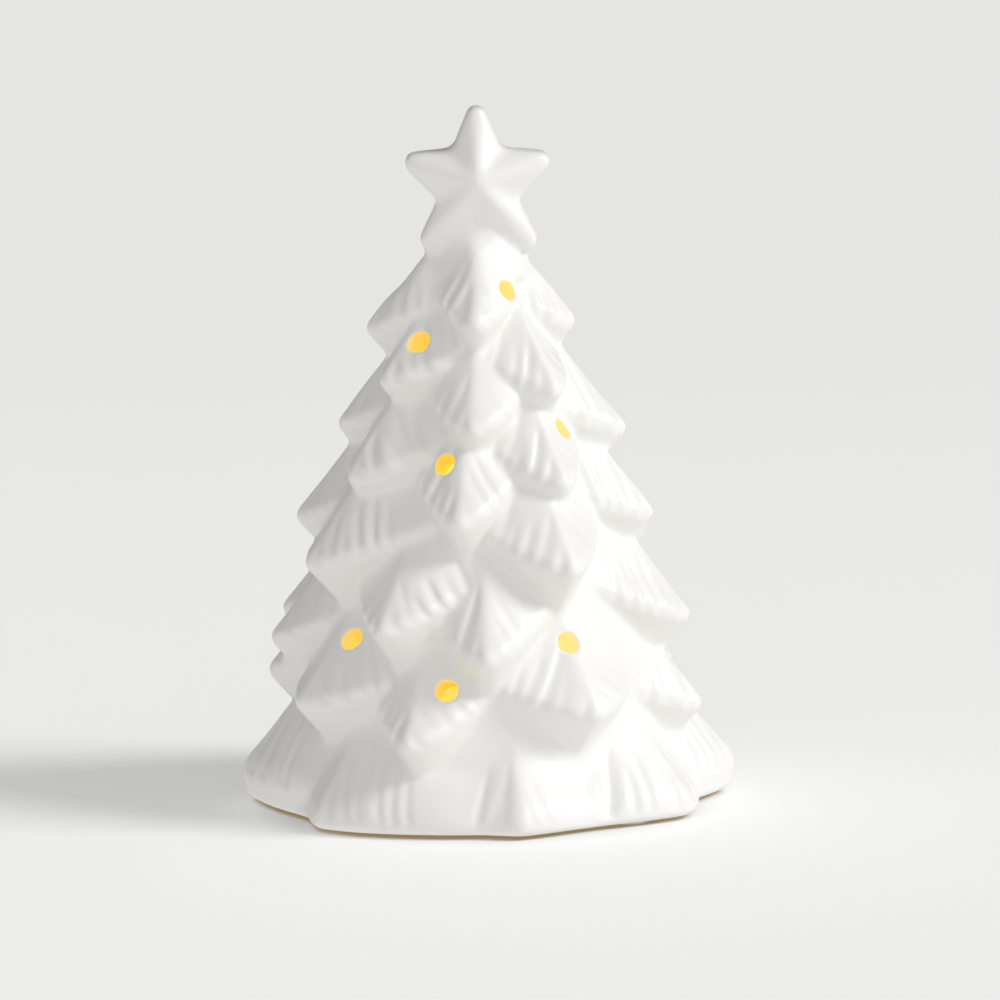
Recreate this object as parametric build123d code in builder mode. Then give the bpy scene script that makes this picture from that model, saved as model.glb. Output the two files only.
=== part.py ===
from build123d import *

import os
from math import cos, degrees, radians, sin, tan

# A glazed ceramic christmas tree with a star on top, lit from inside by a battery light that plugs
# into the round opening in its floor. The tree lifts off the light.
# Frame: +Z up with the table at Z = 0, the tree's axis on Z, its front towards -Y.
# Lengths are millimetres. Azimuths are degrees from the front, positive towards +X.

# Ceramic tree: overall sizes
TREE_HEIGHT = 140.0
BASE_RADIUS = 49.3
WALL = 4.6
CAVITY_TOP_SHARE = 0.757

# Trunk of the tree under the boughs, and the line of the bough tips, from the foot to the neck.
# Each pair is a share of the tree's height and a share of the base radius.
CORE_SHARES = (
    (0.0, 0.892),
    (0.086, 0.77),
    (0.221, 0.706),
    (0.376, 0.594),
    (0.507, 0.432),
    (0.648, 0.27),
    (0.743, 0.178),
    (0.8, 0.117),
)
TIP_SHARES = (
    (0.034, 1.0),
    (0.157, 0.925),
    (0.25, 0.88),
    (0.357, 0.837),
    (0.414, 0.752),
    (0.546, 0.6),
    (0.684, 0.442),
)
NECK_TIP_RADIUS = 2.5
NECK_SHARE = 0.811

# Slopes of a bough, as millimetres of radius per millimetre up its ridge and down its underside
FACE_SLOPE_SHARE = 0.8
UNDER_SLOPE_SHARE = 0.8
BOUGH_ROOT = 0.6
TRACE_STEP = 0.2

# Boughs: azimuth of the ridge, height of the tip as a share of the tree's height, how far the tip stands
# past the line of tips as a share of the base radius, how steeply the lower edge rises to each side, and
# the slopes to the left and to the right of the ridge
FRONT_BOUGH_SHARES = (
    (-3, 0.696, 0.0, 0.5, 0.33, 0.33),
    (-50, 0.625, 0.0, 0.4, 0.4, 0.22),
    (36, 0.608, 0.0, 0.45, 0.33, 0.33),
    (-2, 0.55, 0.0, 0.5, 0.33, 0.26),
    (-39, 0.491, 0.0, 0.4, 0.33, 0.33),
    (28, 0.482, 0.0, 0.5, 0.33, 0.33),
    (-7, 0.434, 0.0, 0.6, 0.33, 0.26),
    (-62, 0.364, 0.0, 0.3, 0.33, 0.22),
    (27, 0.368, 0.0, 0.4, 0.28, 0.33),
    (-27, 0.285, 0.0, 0.55, 0.33, 0.26),
    (78, 0.271, 0.0, 0.35, 0.33, 0.33),
    (0, 0.252, 0.0, 0.5, 0.4, 0.26),
    (-60, 0.192, 0.0, 0.3, 0.33, 0.24),
    (26, 0.182, 0.0, 0.25, 0.27, 0.27),
    (-19, 0.154, 0.0, 0.5, 0.4, 0.27),
)
SIDE_BOUGH_SHARES = (
    (-84, 0.682, 0.041, 0.35, 0.33, 0.33),
    (-87, 0.546, 0.006, 0.35, 0.33, 0.33),
    (-88, 0.414, 0.028, 0.35, 0.33, 0.33),
    (-88, 0.239, 0.014, 0.35, 0.33, 0.33),
    (-96, 0.186, 0.01, 0.35, 0.33, 0.33),
    (86, 0.688, -0.03, 0.35, 0.33, 0.33),
    (84, 0.535, -0.008, 0.35, 0.33, 0.33),
    (78, 0.416, -0.03, 0.35, 0.33, 0.33),
    (76, 0.144, -0.02, 0.35, 0.33, 0.33),
)

# Lowest boughs, which spread into the foot: azimuth, radius at the tip as a share of the base radius,
# and slopes to the left and to the right
BASE_TIP_SHARE = 0.028
BASE_FACE_SLOPE_SHARE = 1.0
BASE_UNDER_SLOPE_SHARE = 0.25
BASE_BOUGH_SHARES = (
    (-90, 1.0, 0.4, 0.24),
    (-44, 0.982, 0.55, 0.16),
    (8, 0.957, 0.45, 0.28),
    (55, 0.982, 0.28, 0.36),
)

# Star
STAR_RADIUS = 15.0
STAR_DEPTH = 16.0
STAR_RIM = 6.0
STAR_HALF_SHARES = (
    (0.0, 1.0),
    (0.43, 0.41),
    (0.89, 0.28),
    (0.55, -0.23),
    (0.76, -0.81),
    (0.0, -0.67),
)

# Light holes in the front: azimuth, and height as a share of the tree's height. The back repeats them.
LIGHT_HOLE_DIAMETER = 4.4
LIGHT_HOLE_TILT = 30
LIGHT_HOLE_SHARES = (
    (26, 0.741),
    (-45, 0.671),
    (45, 0.545),
    (-18, 0.508),
    (-52, 0.257),
    (29, 0.261),
    (-13, 0.2),
)

# Foot, floor and stick-on pads
FOOT_RECESS = 3.2
FLOOR_THICKNESS = 4.5
OPENING_CHAMFER = 0.8
PAD_RADIUS = 3.5
PAD_THICKNESS = 0.8
PAD_COUNT = 4
PAD_START = 45

# Light housing: a plastic cup with a flange that stops under the ceramic floor
BODY_RADIUS = 22.5
BODY_WALL = 1.6
BODY_HEIGHT = 13.2
FLANGE_WIDTH = 5.5
FLANGE_THICKNESS = 2.0
FLANGE_ROUND = 0.6
FLANGE_CLEARANCE = 6.6
OPENING_CLEARANCE = 0.5
POST_RADIUS = 2.0
POST_WALL_GAP = 1.5
POST_ANGLE = 75
PILOT_DEPTH_SPARE = 0.6

# Silicone ring that grips the ceramic opening
RING_HEIGHT = 2.4
RING_DEPTH = 0.9
RING_CLEARANCE = 0.05
RING_ROUND = 0.5

# Coin cell and its bay
CELL_RADIUS = 10.0
CELL_THICKNESS = 3.2
CELL_CAP_MARGIN = 1.4
CELL_CAP_HEIGHT = 0.5
CELL_ROUND = 0.4
CELL_CLEARANCE = 0.4
CELL_OFFSET = 3.0
SEAT_THICKNESS = 1.5
SEAT_LEDGE = 1.5
BAY_WALL = 1.2
BAY_HEIGHT = 3.0

# Battery door and its captive screw
DOOR_MARGIN = 2.0
DOOR_CLEARANCE = 0.2
DOOR_GAP = 0.1
DOOR_LAND = 0.9
DOOR_TAB_MARGIN = 2.0
DOOR_RIB_COUNT = 3
DOOR_RIB_PITCH = 1.6
DOOR_RIB_WIDTH = 0.7
DOOR_RIB_LENGTH = 7.0
DOOR_RIB_DEPTH = 0.4
DOOR_SCREW_RADIUS = 0.85
DOOR_SCREW_LENGTH = 6.0
DOOR_HEAD_RADIUS = 1.6
DOOR_HEAD_HEIGHT = 0.9
DOOR_HEAD_CLEARANCE = 0.2
DOOR_SCREW_BACK_OUT = 2.4
RETAINER_RADIUS = 1.5
RETAINER_THICKNESS = 0.6
RETAINER_GAP = 0.05
RETAINER_CLEARANCE = 0.2
BOSS_WALL = 0.9
BOSS_CAP = 1.2
SCREW_CLEARANCE = 0.05
CROSS_WIDTH = 0.4
CROSS_DEPTH = 0.45

# Circuit board and what is soldered to it
BOARD_THICKNESS = 1.2
BOARD_GAP = 2.7
BOARD_CLEARANCE = 1.1
BOARD_HOLE_CLEARANCE = 0.2
CHIP_LENGTH = 4.9
CHIP_WIDTH = 3.9
CHIP_HEIGHT = 1.5
CHIP_STANDOFF = 0.2
CHIP_INSET = 10.4
CHIP_LEG_COUNT = 4
CHIP_LEG_PITCH = 1.27
CHIP_LEG_WIDTH = 0.4
CHIP_LEG_REACH = 1.0
CHIP_LEG_THICKNESS = 0.2
RESISTOR_RADIUS = 0.9
RESISTOR_LENGTH = 3.4
RESISTOR_WIRE_RADIUS = 0.25
RESISTOR_WIRE_REACH = 1.2
RESISTOR_PLACE = (-7.0, 7.5)
CAPACITOR_RADIUS = 2.0
CAPACITOR_HEIGHT = 4.5
CAPACITOR_CRIMP = 0.3
CAPACITOR_CRIMP_HEIGHT = 0.8
CAPACITOR_PLACE = (-6.0, -8.0)

# Light-emitting diode
LED_RADIUS = 2.5
LED_FLANGE_RADIUS = 2.9
LED_FLANGE_HEIGHT = 1.0
LED_STEM_HEIGHT = 5.0
LED_CLEARANCE = 0.15
LEAD_WIDTH = 0.5
LEAD_PITCH = 2.54
LEAD_TAIL = 0.6

# Slide switch
SWITCH_WIDTH = 3.6
SWITCH_LENGTH = 8.6
SWITCH_HEIGHT = 3.5
SWITCH_WALL = 0.4
SWITCH_INSET = 4.9
SWITCH_BASE_HEIGHT = 0.5
SWITCH_PIN_COUNT = 3
SWITCH_PIN_PITCH = 2.5
SWITCH_PIN_TAIL = 0.8
SWITCH_TRAVEL = 2.0
KNOB_WIDTH = 1.8
KNOB_LENGTH = 2.4
KNOB_CLEARANCE = 0.1
KNOB_ROOT_MARGIN = 0.3
KNOB_ROOT_HEIGHT = 1.4
KNOB_RECESS = 0.2
KNOB_GROOVE = 0.3
KNOB_GROOVE_COUNT = 3
SLOT_CLEARANCE = 0.4

# Battery contacts
CONTACT_THICKNESS = 0.3
CONTACT_WIDTH = 3.0
CONTACT_GAP = 0.1
CONTACT_SLOT_CLEARANCE = 0.4
MINUS_FOOT_LENGTH = 3.0
MINUS_ARM_LENGTH = 4.0
MINUS_TIP_LENGTH = 1.8
PLUS_FOOT_LENGTH = 2.6
PLUS_CELL_OVERLAP = 2.0

# Cover over the housing, and the screws that clamp it and the board to the posts
COVER_THICKNESS = 1.6
COVER_ROUND = 0.6
COVER_CLEARANCE = 0.15
SPIGOT_HEIGHT = 2.5
SPIGOT_WALL = 1.6
PILLAR_RADIUS = 3.0
CASE_SCREW_RADIUS = 0.9
CASE_SCREW_LENGTH = 10.0
CASE_HEAD_RADIUS = 1.9
CASE_HEAD_HEIGHT = 1.2
CASE_HEAD_SINK = 0.4
CASE_HEAD_CLEARANCE = 0.2

# Heights
foot = PAD_THICKNESS
floor_under = foot + FOOT_RECESS
floor_top = floor_under + FLOOR_THICKNESS
star_height = TREE_HEIGHT - STAR_RADIUS
neck_height = NECK_SHARE * TREE_HEIGHT
flange_bottom = floor_under - FLANGE_THICKNESS
body_top = floor_under + BODY_HEIGHT
cover_top = body_top + COVER_THICKNESS
door_top = floor_under - DOOR_GAP
cell_top = door_top + CELL_THICKNESS
board_under = cell_top + BOARD_GAP
board_top = board_under + BOARD_THICKNESS
switch_under = board_under - SWITCH_HEIGHT
screw_seat = door_top - DOOR_LAND
screw_tip = screw_seat + DOOR_SCREW_LENGTH
retainer_bottom = door_top + DOOR_SCREW_BACK_OUT + RETAINER_GAP
retainer_top = retainer_bottom + RETAINER_THICKNESS
boss_pocket_top = retainer_top + RETAINER_CLEARANCE
boss_top = screw_tip + BOSS_CAP
case_screw_seat = cover_top - CASE_HEAD_HEIGHT - CASE_HEAD_SINK
case_screw_tip = case_screw_seat - CASE_SCREW_LENGTH

# Radii and places
opening_radius = BODY_RADIUS + OPENING_CLEARANCE
flange_radius = BODY_RADIUS + FLANGE_WIDTH
inner_radius = BODY_RADIUS - BODY_WALL
groove_radius = BODY_RADIUS - RING_DEPTH
cell_x = -CELL_OFFSET
bay_radius = CELL_RADIUS + CELL_CLEARANCE
door_radius = CELL_RADIUS + DOOR_MARGIN
boss_pocket_radius = RETAINER_RADIUS + RETAINER_CLEARANCE
boss_radius = boss_pocket_radius + BOSS_WALL
screw_x = cell_x - bay_radius - boss_radius
tab_radius = DOOR_HEAD_RADIUS + DOOR_TAB_MARGIN
switch_x = inner_radius - SWITCH_INSET
knob_y = SWITCH_TRAVEL / 2
board_radius = inner_radius - BOARD_CLEARANCE
board_flat_x = screw_x + boss_radius + BOARD_CLEARANCE
post_ring_radius = inner_radius - PILLAR_RADIUS - POST_WALL_GAP
post_x = post_ring_radius * cos(radians(POST_ANGLE))
post_y = post_ring_radius * sin(radians(POST_ANGLE))
post_places = ((post_x, post_y), (post_x, -post_y))


def outline(shares):
    """Heights and radii of a line up the tree, from its shares."""
    return [(height_share * TREE_HEIGHT, radius_share * BASE_RADIUS) for height_share, radius_share in shares]


def read_outline(points, height):
    """Radius at a height, along straight lines between the points of an outline."""
    if height <= points[0][0]:
        return points[0][1]
    for (low, low_radius), (high, high_radius) in zip(points, points[1:]):
        if height <= high:
            return low_radius + (high_radius - low_radius) * (height - low) / (high - low)
    return points[-1][1]


core_outline = outline(CORE_SHARES) + [(star_height, NECK_TIP_RADIUS)]
tip_outline = outline(TIP_SHARES)
foot_radius = read_outline(core_outline, foot)
recess_radius = flange_radius + FLANGE_CLEARANCE
pad_ring_radius = (foot_radius + recess_radius) / 2


def place(azimuth, radius, height):
    """A point at a height, that far from the axis, on the side that the azimuth faces."""
    return Vector(radius * sin(radians(azimuth)), -radius * cos(radians(azimuth)), height)


def meet_trunk(radius, height, fall, rise):
    """How far a line that falls in towards the axis, and rises or drops, runs before it is inside the trunk."""
    run = 0
    while radius - fall * run > read_outline(core_outline, height + rise * run) - BOUGH_ROOT:
        run += TRACE_STEP
    return run


def make_bough(azimuth, tip_radius, tip_height, slope_shares, side_slope_shares, rise):
    """A tent-shaped bough: two sloping faces that meet in a ridge, and an underside that runs back in."""
    face_slope, under_slope = slope_shares
    top_height = min(tip_height + meet_trunk(tip_radius, tip_height, face_slope, 1), neck_height)
    under_height = tip_height - meet_trunk(tip_radius, tip_height, under_slope, -1)
    top = place(azimuth, read_outline(core_outline, top_height) - BOUGH_ROOT, top_height)
    under = place(azimuth, read_outline(core_outline, under_height) - BOUGH_ROOT, under_height)
    tip = place(azimuth, tip_radius, tip_height)
    rims = []
    for side, side_slope in zip((-1, 1), side_slope_shares):
        run = meet_trunk(tip_radius, tip_height, side_slope + face_slope * rise, rise)
        side_height = tip_height + rise * run
        side_radius = read_outline(core_outline, side_height) - BOUGH_ROOT
        turn = degrees(run / tip_radius)
        side_out = side_radius * cos(radians(turn))
        half_radius = (tip_radius + side_radius) / 2
        half_out = half_radius * cos(radians(turn / 2))
        half_height = tip_height + rise * run * (tip_radius - half_out) / (tip_radius - side_out)
        shoulder = place(azimuth + side * turn / 2, half_radius, half_height)
        rims.append((shoulder, place(azimuth + side * turn, side_radius, side_height)))
        root = place(azimuth, side_out, side_height)
    outward = tip - root
    across = Vector(cos(radians(azimuth)), sin(radians(azimuth)), 0)
    waist_plane = Plane(origin=tip, x_dir=outward, z_dir=outward.cross(across))
    corners = [waist_plane.to_local_coords(point) for point in (tip, *rims[0], *reversed(rims[1]))]
    with BuildSketch(waist_plane) as waist:
        with BuildLine():
            Polyline(*[(corner.X, corner.Y) for corner in corners], close=True)
        make_face()
    with BuildPart() as bough:
        loft(sections=[Vertex(*top), waist.sketch.face(), Vertex(*under)], ruled=True)
    return bough.part


def make_boughs():
    """Every bough of the tree. The back repeats the front, turned half a turn."""
    turned = [(azimuth + turn, *shares) for azimuth, *shares in FRONT_BOUGH_SHARES for turn in (0, 180)]
    slopes = (FACE_SLOPE_SHARE, UNDER_SLOPE_SHARE)
    boughs = []
    for azimuth, height_share, past_share, rise, *side_slopes in turned + list(SIDE_BOUGH_SHARES):
        tip_height = height_share * TREE_HEIGHT
        tip_radius = read_outline(tip_outline, tip_height) + past_share * BASE_RADIUS
        boughs.append(make_bough(azimuth, tip_radius, tip_height, slopes, side_slopes, rise))
    slopes = (BASE_FACE_SLOPE_SHARE, BASE_UNDER_SLOPE_SHARE)
    for azimuth, radius_share, *side_slopes in BASE_BOUGH_SHARES:
        for turn in (0, 180):
            tip_radius = radius_share * BASE_RADIUS
            tip_height = BASE_TIP_SHARE * TREE_HEIGHT
            boughs.append(make_bough(azimuth + turn, tip_radius, tip_height, slopes, side_slopes, 0))
    return boughs


def star_outline():
    """The star's outline, drawn round its centre."""
    right = [(STAR_RADIUS * across, STAR_RADIUS * up) for across, up in STAR_HALF_SHARES]
    left = [(-across, up) for across, up in reversed(right[1:-1])]
    Polyline(*right, *left, close=True)


def light_hole_plane(azimuth, height):
    """A plane on the tree's axis that faces along a light hole, which rises towards the outside."""
    surface_radius = (read_outline(core_outline, height) + read_outline(tip_outline, height)) / 2
    start = height - surface_radius * tan(radians(LIGHT_HOLE_TILT))
    along = place(azimuth, surface_radius, height) - Vector(0, 0, start)
    return Plane(origin=(0, 0, start), z_dir=along)


def door_outline(grow):
    """The battery door seen from below: a disc under the cell and a tab for the screw."""
    with Locations((cell_x, 0)):
        Circle(door_radius + grow)
    with Locations(((cell_x + screw_x) / 2, 0)):
        SlotCenterToCenter(cell_x - screw_x, 2 * (tab_radius + grow))


os.makedirs("parts", exist_ok=True)

# Ceramic tree: trunk, boughs and star, hollow inside, with an open floor and light holes
trunk_profile = [(0, foot), (foot_radius, foot)]
trunk_profile += [(radius, height) for height, radius in core_outline if height > foot]
trunk_profile += [(0, star_height)]
cavity_profile = [(0, floor_top), (read_outline(core_outline, floor_top) - WALL, floor_top)]
cavity_profile += [(radius - WALL, height) for height, radius in core_outline[1:-2]]
cavity_profile += [(0, CAVITY_TOP_SHARE * TREE_HEIGHT)]
star_plane = Plane(origin=(0, 0, star_height), x_dir=(1, 0, 0), z_dir=(0, -1, 0))
boughs = make_boughs()

with BuildSketch(star_plane.offset(STAR_RIM / 2)) as star_front:
    with BuildLine():
        star_outline()
    make_face()
with BuildSketch(star_plane.offset(-STAR_RIM / 2)) as star_back:
    with BuildLine():
        star_outline()
    make_face()

with BuildPart() as ceramic_tree:
    with BuildSketch(Plane.XZ):
        with BuildLine():
            Polyline(*trunk_profile, close=True)
        make_face()
    revolve(axis=Axis.Z)
    add(boughs)
    split(bisect_by=Plane.XY.offset(foot), keep=Keep.TOP)
    loft(sections=[Vertex(0, -STAR_DEPTH / 2, star_height), star_front.sketch.face()], ruled=True)
    loft(sections=[star_front.sketch.face(), star_back.sketch.face()], ruled=True)
    loft(sections=[star_back.sketch.face(), Vertex(0, STAR_DEPTH / 2, star_height)], ruled=True)
    with BuildSketch(Plane.XZ):
        with BuildLine():
            Polyline(*cavity_profile, close=True)
        make_face()
    revolve(axis=Axis.Z, mode=Mode.SUBTRACT)
    with BuildSketch(Plane.XY.offset(foot)):
        Circle(recess_radius)
    extrude(amount=FOOT_RECESS, mode=Mode.SUBTRACT)
    with BuildSketch(Plane.XY.offset(floor_under)):
        Circle(opening_radius)
    extrude(amount=FLOOR_THICKNESS, mode=Mode.SUBTRACT)
    rims = ceramic_tree.edges().filter_by(GeomType.CIRCLE).filter_by(lambda edge: edge.radius == opening_radius)
    chamfer(rims.sort_by(Axis.Z)[-1], length=OPENING_CHAMFER)
    for azimuth, share in LIGHT_HOLE_SHARES:
        for turn in (0, 180):
            with BuildSketch(light_hole_plane(azimuth + turn, share * TREE_HEIGHT)):
                Circle(LIGHT_HOLE_DIAMETER / 2)
            extrude(amount=BASE_RADIUS + TREE_HEIGHT, mode=Mode.SUBTRACT)

ceramic_tree.part.label = "ceramic_tree"
export_step(ceramic_tree.part, "parts/ceramic_tree.step")

# Stick-on pads under the foot
with BuildPart() as foot_pads:
    with BuildSketch():
        with PolarLocations(pad_ring_radius, PAD_COUNT, start_angle=PAD_START):
            Circle(PAD_RADIUS)
    extrude(amount=PAD_THICKNESS)

foot_pads.part.label = "foot_pads"
export_step(foot_pads.part, "parts/foot_pads.step")

# Light housing: flange, cup, battery bay, screw boss and posts
with BuildPart() as light_housing:
    with BuildSketch(Plane.XY.offset(flange_bottom)):
        Circle(flange_radius)
    extrude(amount=FLANGE_THICKNESS)
    fillet(light_housing.edges().filter_by(GeomType.CIRCLE).sort_by(Axis.Z)[0], radius=FLANGE_ROUND)
    with BuildSketch(Plane.XY.offset(floor_under)):
        Circle(BODY_RADIUS)
        Circle(inner_radius, mode=Mode.SUBTRACT)
    extrude(amount=BODY_HEIGHT)
    with BuildSketch(Plane.XY.offset(flange_bottom)):
        door_outline(DOOR_CLEARANCE)
    extrude(amount=FLANGE_THICKNESS, mode=Mode.SUBTRACT)
    with BuildSketch(Plane.XY.offset(floor_under)):
        door_outline(DOOR_CLEARANCE + SEAT_LEDGE)
        Circle(inner_radius, mode=Mode.INTERSECT)
    extrude(amount=SEAT_THICKNESS)
    with BuildSketch(Plane.XY.offset(floor_under + SEAT_THICKNESS)):
        with Locations((cell_x, 0)):
            Circle(bay_radius + BAY_WALL)
    extrude(amount=BAY_HEIGHT)
    with BuildSketch(Plane.XY.offset(floor_under)):
        with Locations((screw_x, 0)):
            Circle(boss_radius)
    extrude(amount=boss_top - floor_under)
    with BuildSketch(Plane.XY.offset(floor_under)):
        with Locations(*post_places):
            Circle(POST_RADIUS)
    extrude(amount=board_under - floor_under)
    with BuildSketch(Plane.XY.offset(floor_under)):
        with Locations((cell_x, 0)):
            Circle(bay_radius)
    extrude(amount=SEAT_THICKNESS + BAY_HEIGHT, mode=Mode.SUBTRACT)
    with BuildSketch(Plane.XY.offset(floor_under)):
        with Locations((screw_x, 0)):
            Circle(boss_pocket_radius)
    extrude(amount=boss_pocket_top - floor_under, mode=Mode.SUBTRACT)
    with BuildSketch(Plane.XY.offset(boss_pocket_top)):
        with Locations((screw_x, 0)):
            Circle(DOOR_SCREW_RADIUS + SCREW_CLEARANCE)
    extrude(amount=screw_tip + PILOT_DEPTH_SPARE - boss_pocket_top, mode=Mode.SUBTRACT)
    with BuildSketch(Plane.XY.offset(board_under)):
        with Locations(*post_places):
            Circle(CASE_SCREW_RADIUS + SCREW_CLEARANCE)
    extrude(amount=case_screw_tip - PILOT_DEPTH_SPARE - board_under, mode=Mode.SUBTRACT)
    with BuildSketch(Plane.XY.offset(floor_under)):
        with Locations((cell_x, bay_radius)):
            slot_width = CONTACT_WIDTH + 2 * CONTACT_SLOT_CLEARANCE
            slot_depth = 2 * (CONTACT_THICKNESS + CONTACT_SLOT_CLEARANCE)
            Rectangle(slot_width, slot_depth)
    extrude(amount=SEAT_THICKNESS + BAY_HEIGHT, mode=Mode.SUBTRACT)
    with BuildSketch(Plane.XY.offset(flange_bottom)):
        with Locations((switch_x, 0)):
            Rectangle(KNOB_WIDTH + 2 * SLOT_CLEARANCE, KNOB_LENGTH + SWITCH_TRAVEL + 2 * SLOT_CLEARANCE)
    extrude(amount=FLANGE_THICKNESS, mode=Mode.SUBTRACT)
    with BuildSketch(Plane.XY.offset(floor_under + FLOOR_THICKNESS / 2)):
        Circle(BODY_RADIUS)
        Circle(groove_radius, mode=Mode.SUBTRACT)
    extrude(amount=RING_HEIGHT / 2, both=True, mode=Mode.SUBTRACT)

light_housing.part.label = "light_housing"
export_step(light_housing.part, "parts/light_housing.step")

# Silicone grip ring in the housing's groove
with BuildPart() as grip_ring:
    with BuildSketch(Plane.XY.offset(floor_under + FLOOR_THICKNESS / 2)):
        Circle(opening_radius - RING_CLEARANCE)
        Circle(groove_radius, mode=Mode.SUBTRACT)
    extrude(amount=RING_HEIGHT / 2, both=True)
    fillet(grip_ring.edges().filter_by(GeomType.CIRCLE).sort_by(SortBy.RADIUS)[-2:], radius=RING_ROUND)

grip_ring.part.label = "grip_ring"
export_step(grip_ring.part, "parts/grip_ring.step")

# Coin cell, plus side down on the door
with BuildPart() as coin_cell:
    with BuildSketch(Plane.XY.offset(door_top)):
        with Locations((cell_x, 0)):
            Circle(CELL_RADIUS)
    extrude(amount=CELL_THICKNESS - CELL_CAP_HEIGHT)
    fillet(coin_cell.edges().filter_by(GeomType.CIRCLE), radius=CELL_ROUND)
    with BuildSketch(Plane.XY.offset(cell_top - CELL_CAP_HEIGHT)):
        with Locations((cell_x, 0)):
            Circle(CELL_RADIUS - CELL_CAP_MARGIN)
    extrude(amount=CELL_CAP_HEIGHT)

coin_cell.part.label = "coin_cell"
export_step(coin_cell.part, "parts/coin_cell.step")

# Battery door, flush with the underside of the flange
with BuildPart() as battery_door:
    with BuildSketch(Plane.XY.offset(flange_bottom)):
        door_outline(0)
    extrude(amount=door_top - flange_bottom)
    with BuildSketch(Plane.XY.offset(flange_bottom)):
        with Locations((screw_x, 0)):
            Circle(DOOR_HEAD_RADIUS + DOOR_HEAD_CLEARANCE)
    extrude(amount=screw_seat - flange_bottom, mode=Mode.SUBTRACT)
    with BuildSketch(Plane.XY.offset(screw_seat)):
        with Locations((screw_x, 0)):
            Circle(DOOR_SCREW_RADIUS + SCREW_CLEARANCE)
    extrude(amount=DOOR_LAND, mode=Mode.SUBTRACT)
    with BuildSketch(Plane.XY.offset(flange_bottom)):
        with Locations((cell_x + door_radius / 2, 0)):
            with GridLocations(DOOR_RIB_PITCH, 0, DOOR_RIB_COUNT, 1):
                Rectangle(DOOR_RIB_WIDTH, DOOR_RIB_LENGTH)
    extrude(amount=DOOR_RIB_DEPTH, mode=Mode.SUBTRACT)

battery_door.part.label = "battery_door"
export_step(battery_door.part, "parts/battery_door.step")

# Captive door screw with a cross recess
with BuildPart() as door_screw:
    with BuildSketch(Plane.XY.offset(screw_seat)):
        with Locations((screw_x, 0)):
            Circle(DOOR_HEAD_RADIUS)
    extrude(amount=-DOOR_HEAD_HEIGHT)
    with BuildSketch(Plane.XY.offset(screw_seat)):
        with Locations((screw_x, 0)):
            Circle(DOOR_SCREW_RADIUS)
    extrude(amount=DOOR_SCREW_LENGTH)
    chamfer(door_screw.edges().filter_by(GeomType.CIRCLE).sort_by(Axis.Z)[-1], length=DOOR_SCREW_RADIUS / 2)
    with BuildSketch(Plane.XY.offset(screw_seat - DOOR_HEAD_HEIGHT)):
        with Locations((screw_x, 0)):
            Rectangle(DOOR_HEAD_RADIUS, CROSS_WIDTH)
            Rectangle(CROSS_WIDTH, DOOR_HEAD_RADIUS)
    extrude(amount=CROSS_DEPTH, mode=Mode.SUBTRACT)

door_screw.part.label = "door_screw"
export_step(door_screw.part, "parts/door_screw.step")

# Washer that keeps the screw in the door
with BuildPart() as screw_retainer:
    with BuildSketch(Plane.XY.offset(retainer_bottom)):
        with Locations((screw_x, 0)):
            Circle(RETAINER_RADIUS)
            Circle(DOOR_SCREW_RADIUS + SCREW_CLEARANCE, mode=Mode.SUBTRACT)
    extrude(amount=RETAINER_THICKNESS)

screw_retainer.part.label = "screw_retainer"
export_step(screw_retainer.part, "parts/screw_retainer.step")

# Circuit board: a disc with one straight side beside the screw boss
lead_places = ((0, -LEAD_PITCH / 2), (0, LEAD_PITCH / 2))
with BuildPart() as circuit_board:
    with BuildSketch(Plane.XY.offset(board_under)):
        Circle(board_radius)
        with Locations((board_flat_x, 0)):
            Rectangle(board_radius, 2 * board_radius, align=(Align.MAX, Align.CENTER), mode=Mode.SUBTRACT)
        with Locations(*post_places):
            Circle(CASE_SCREW_RADIUS + BOARD_HOLE_CLEARANCE, mode=Mode.SUBTRACT)
        with Locations(*lead_places):
            Circle(LEAD_WIDTH / 2 + BOARD_HOLE_CLEARANCE, mode=Mode.SUBTRACT)
        with Locations((switch_x, 0)):
            with GridLocations(0, SWITCH_PIN_PITCH, 1, SWITCH_PIN_COUNT):
                Circle(LEAD_WIDTH / 2 + BOARD_HOLE_CLEARANCE, mode=Mode.SUBTRACT)
    extrude(amount=BOARD_THICKNESS)

circuit_board.part.label = "circuit_board"
export_step(circuit_board.part, "parts/circuit_board.step")

# Timer chip with its rows of legs
chip_x = inner_radius - CHIP_INSET
leg_rows = ((chip_x, CHIP_WIDTH / 2), (chip_x, -CHIP_WIDTH / 2))
with BuildPart() as timer_chip:
    with BuildSketch(Plane.XY.offset(board_top + CHIP_STANDOFF)):
        with Locations((chip_x, 0)):
            Rectangle(CHIP_LENGTH, CHIP_WIDTH)
    extrude(amount=CHIP_HEIGHT)
    with BuildSketch(Plane.XY.offset(board_top)):
        with Locations(*leg_rows):
            with GridLocations(CHIP_LEG_PITCH, 0, CHIP_LEG_COUNT, 1):
                Rectangle(CHIP_LEG_WIDTH, 2 * CHIP_LEG_REACH)
    extrude(amount=CHIP_STANDOFF)
    with BuildSketch(Plane.XY.offset(board_top)):
        with Locations(*leg_rows):
            with GridLocations(CHIP_LEG_PITCH, 0, CHIP_LEG_COUNT, 1):
                Rectangle(CHIP_LEG_WIDTH, 2 * CHIP_LEG_THICKNESS)
    extrude(amount=CHIP_STANDOFF + CHIP_HEIGHT / 2)

timer_chip.part.label = "timer_chip"
export_step(timer_chip.part, "parts/timer_chip.step")

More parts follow.
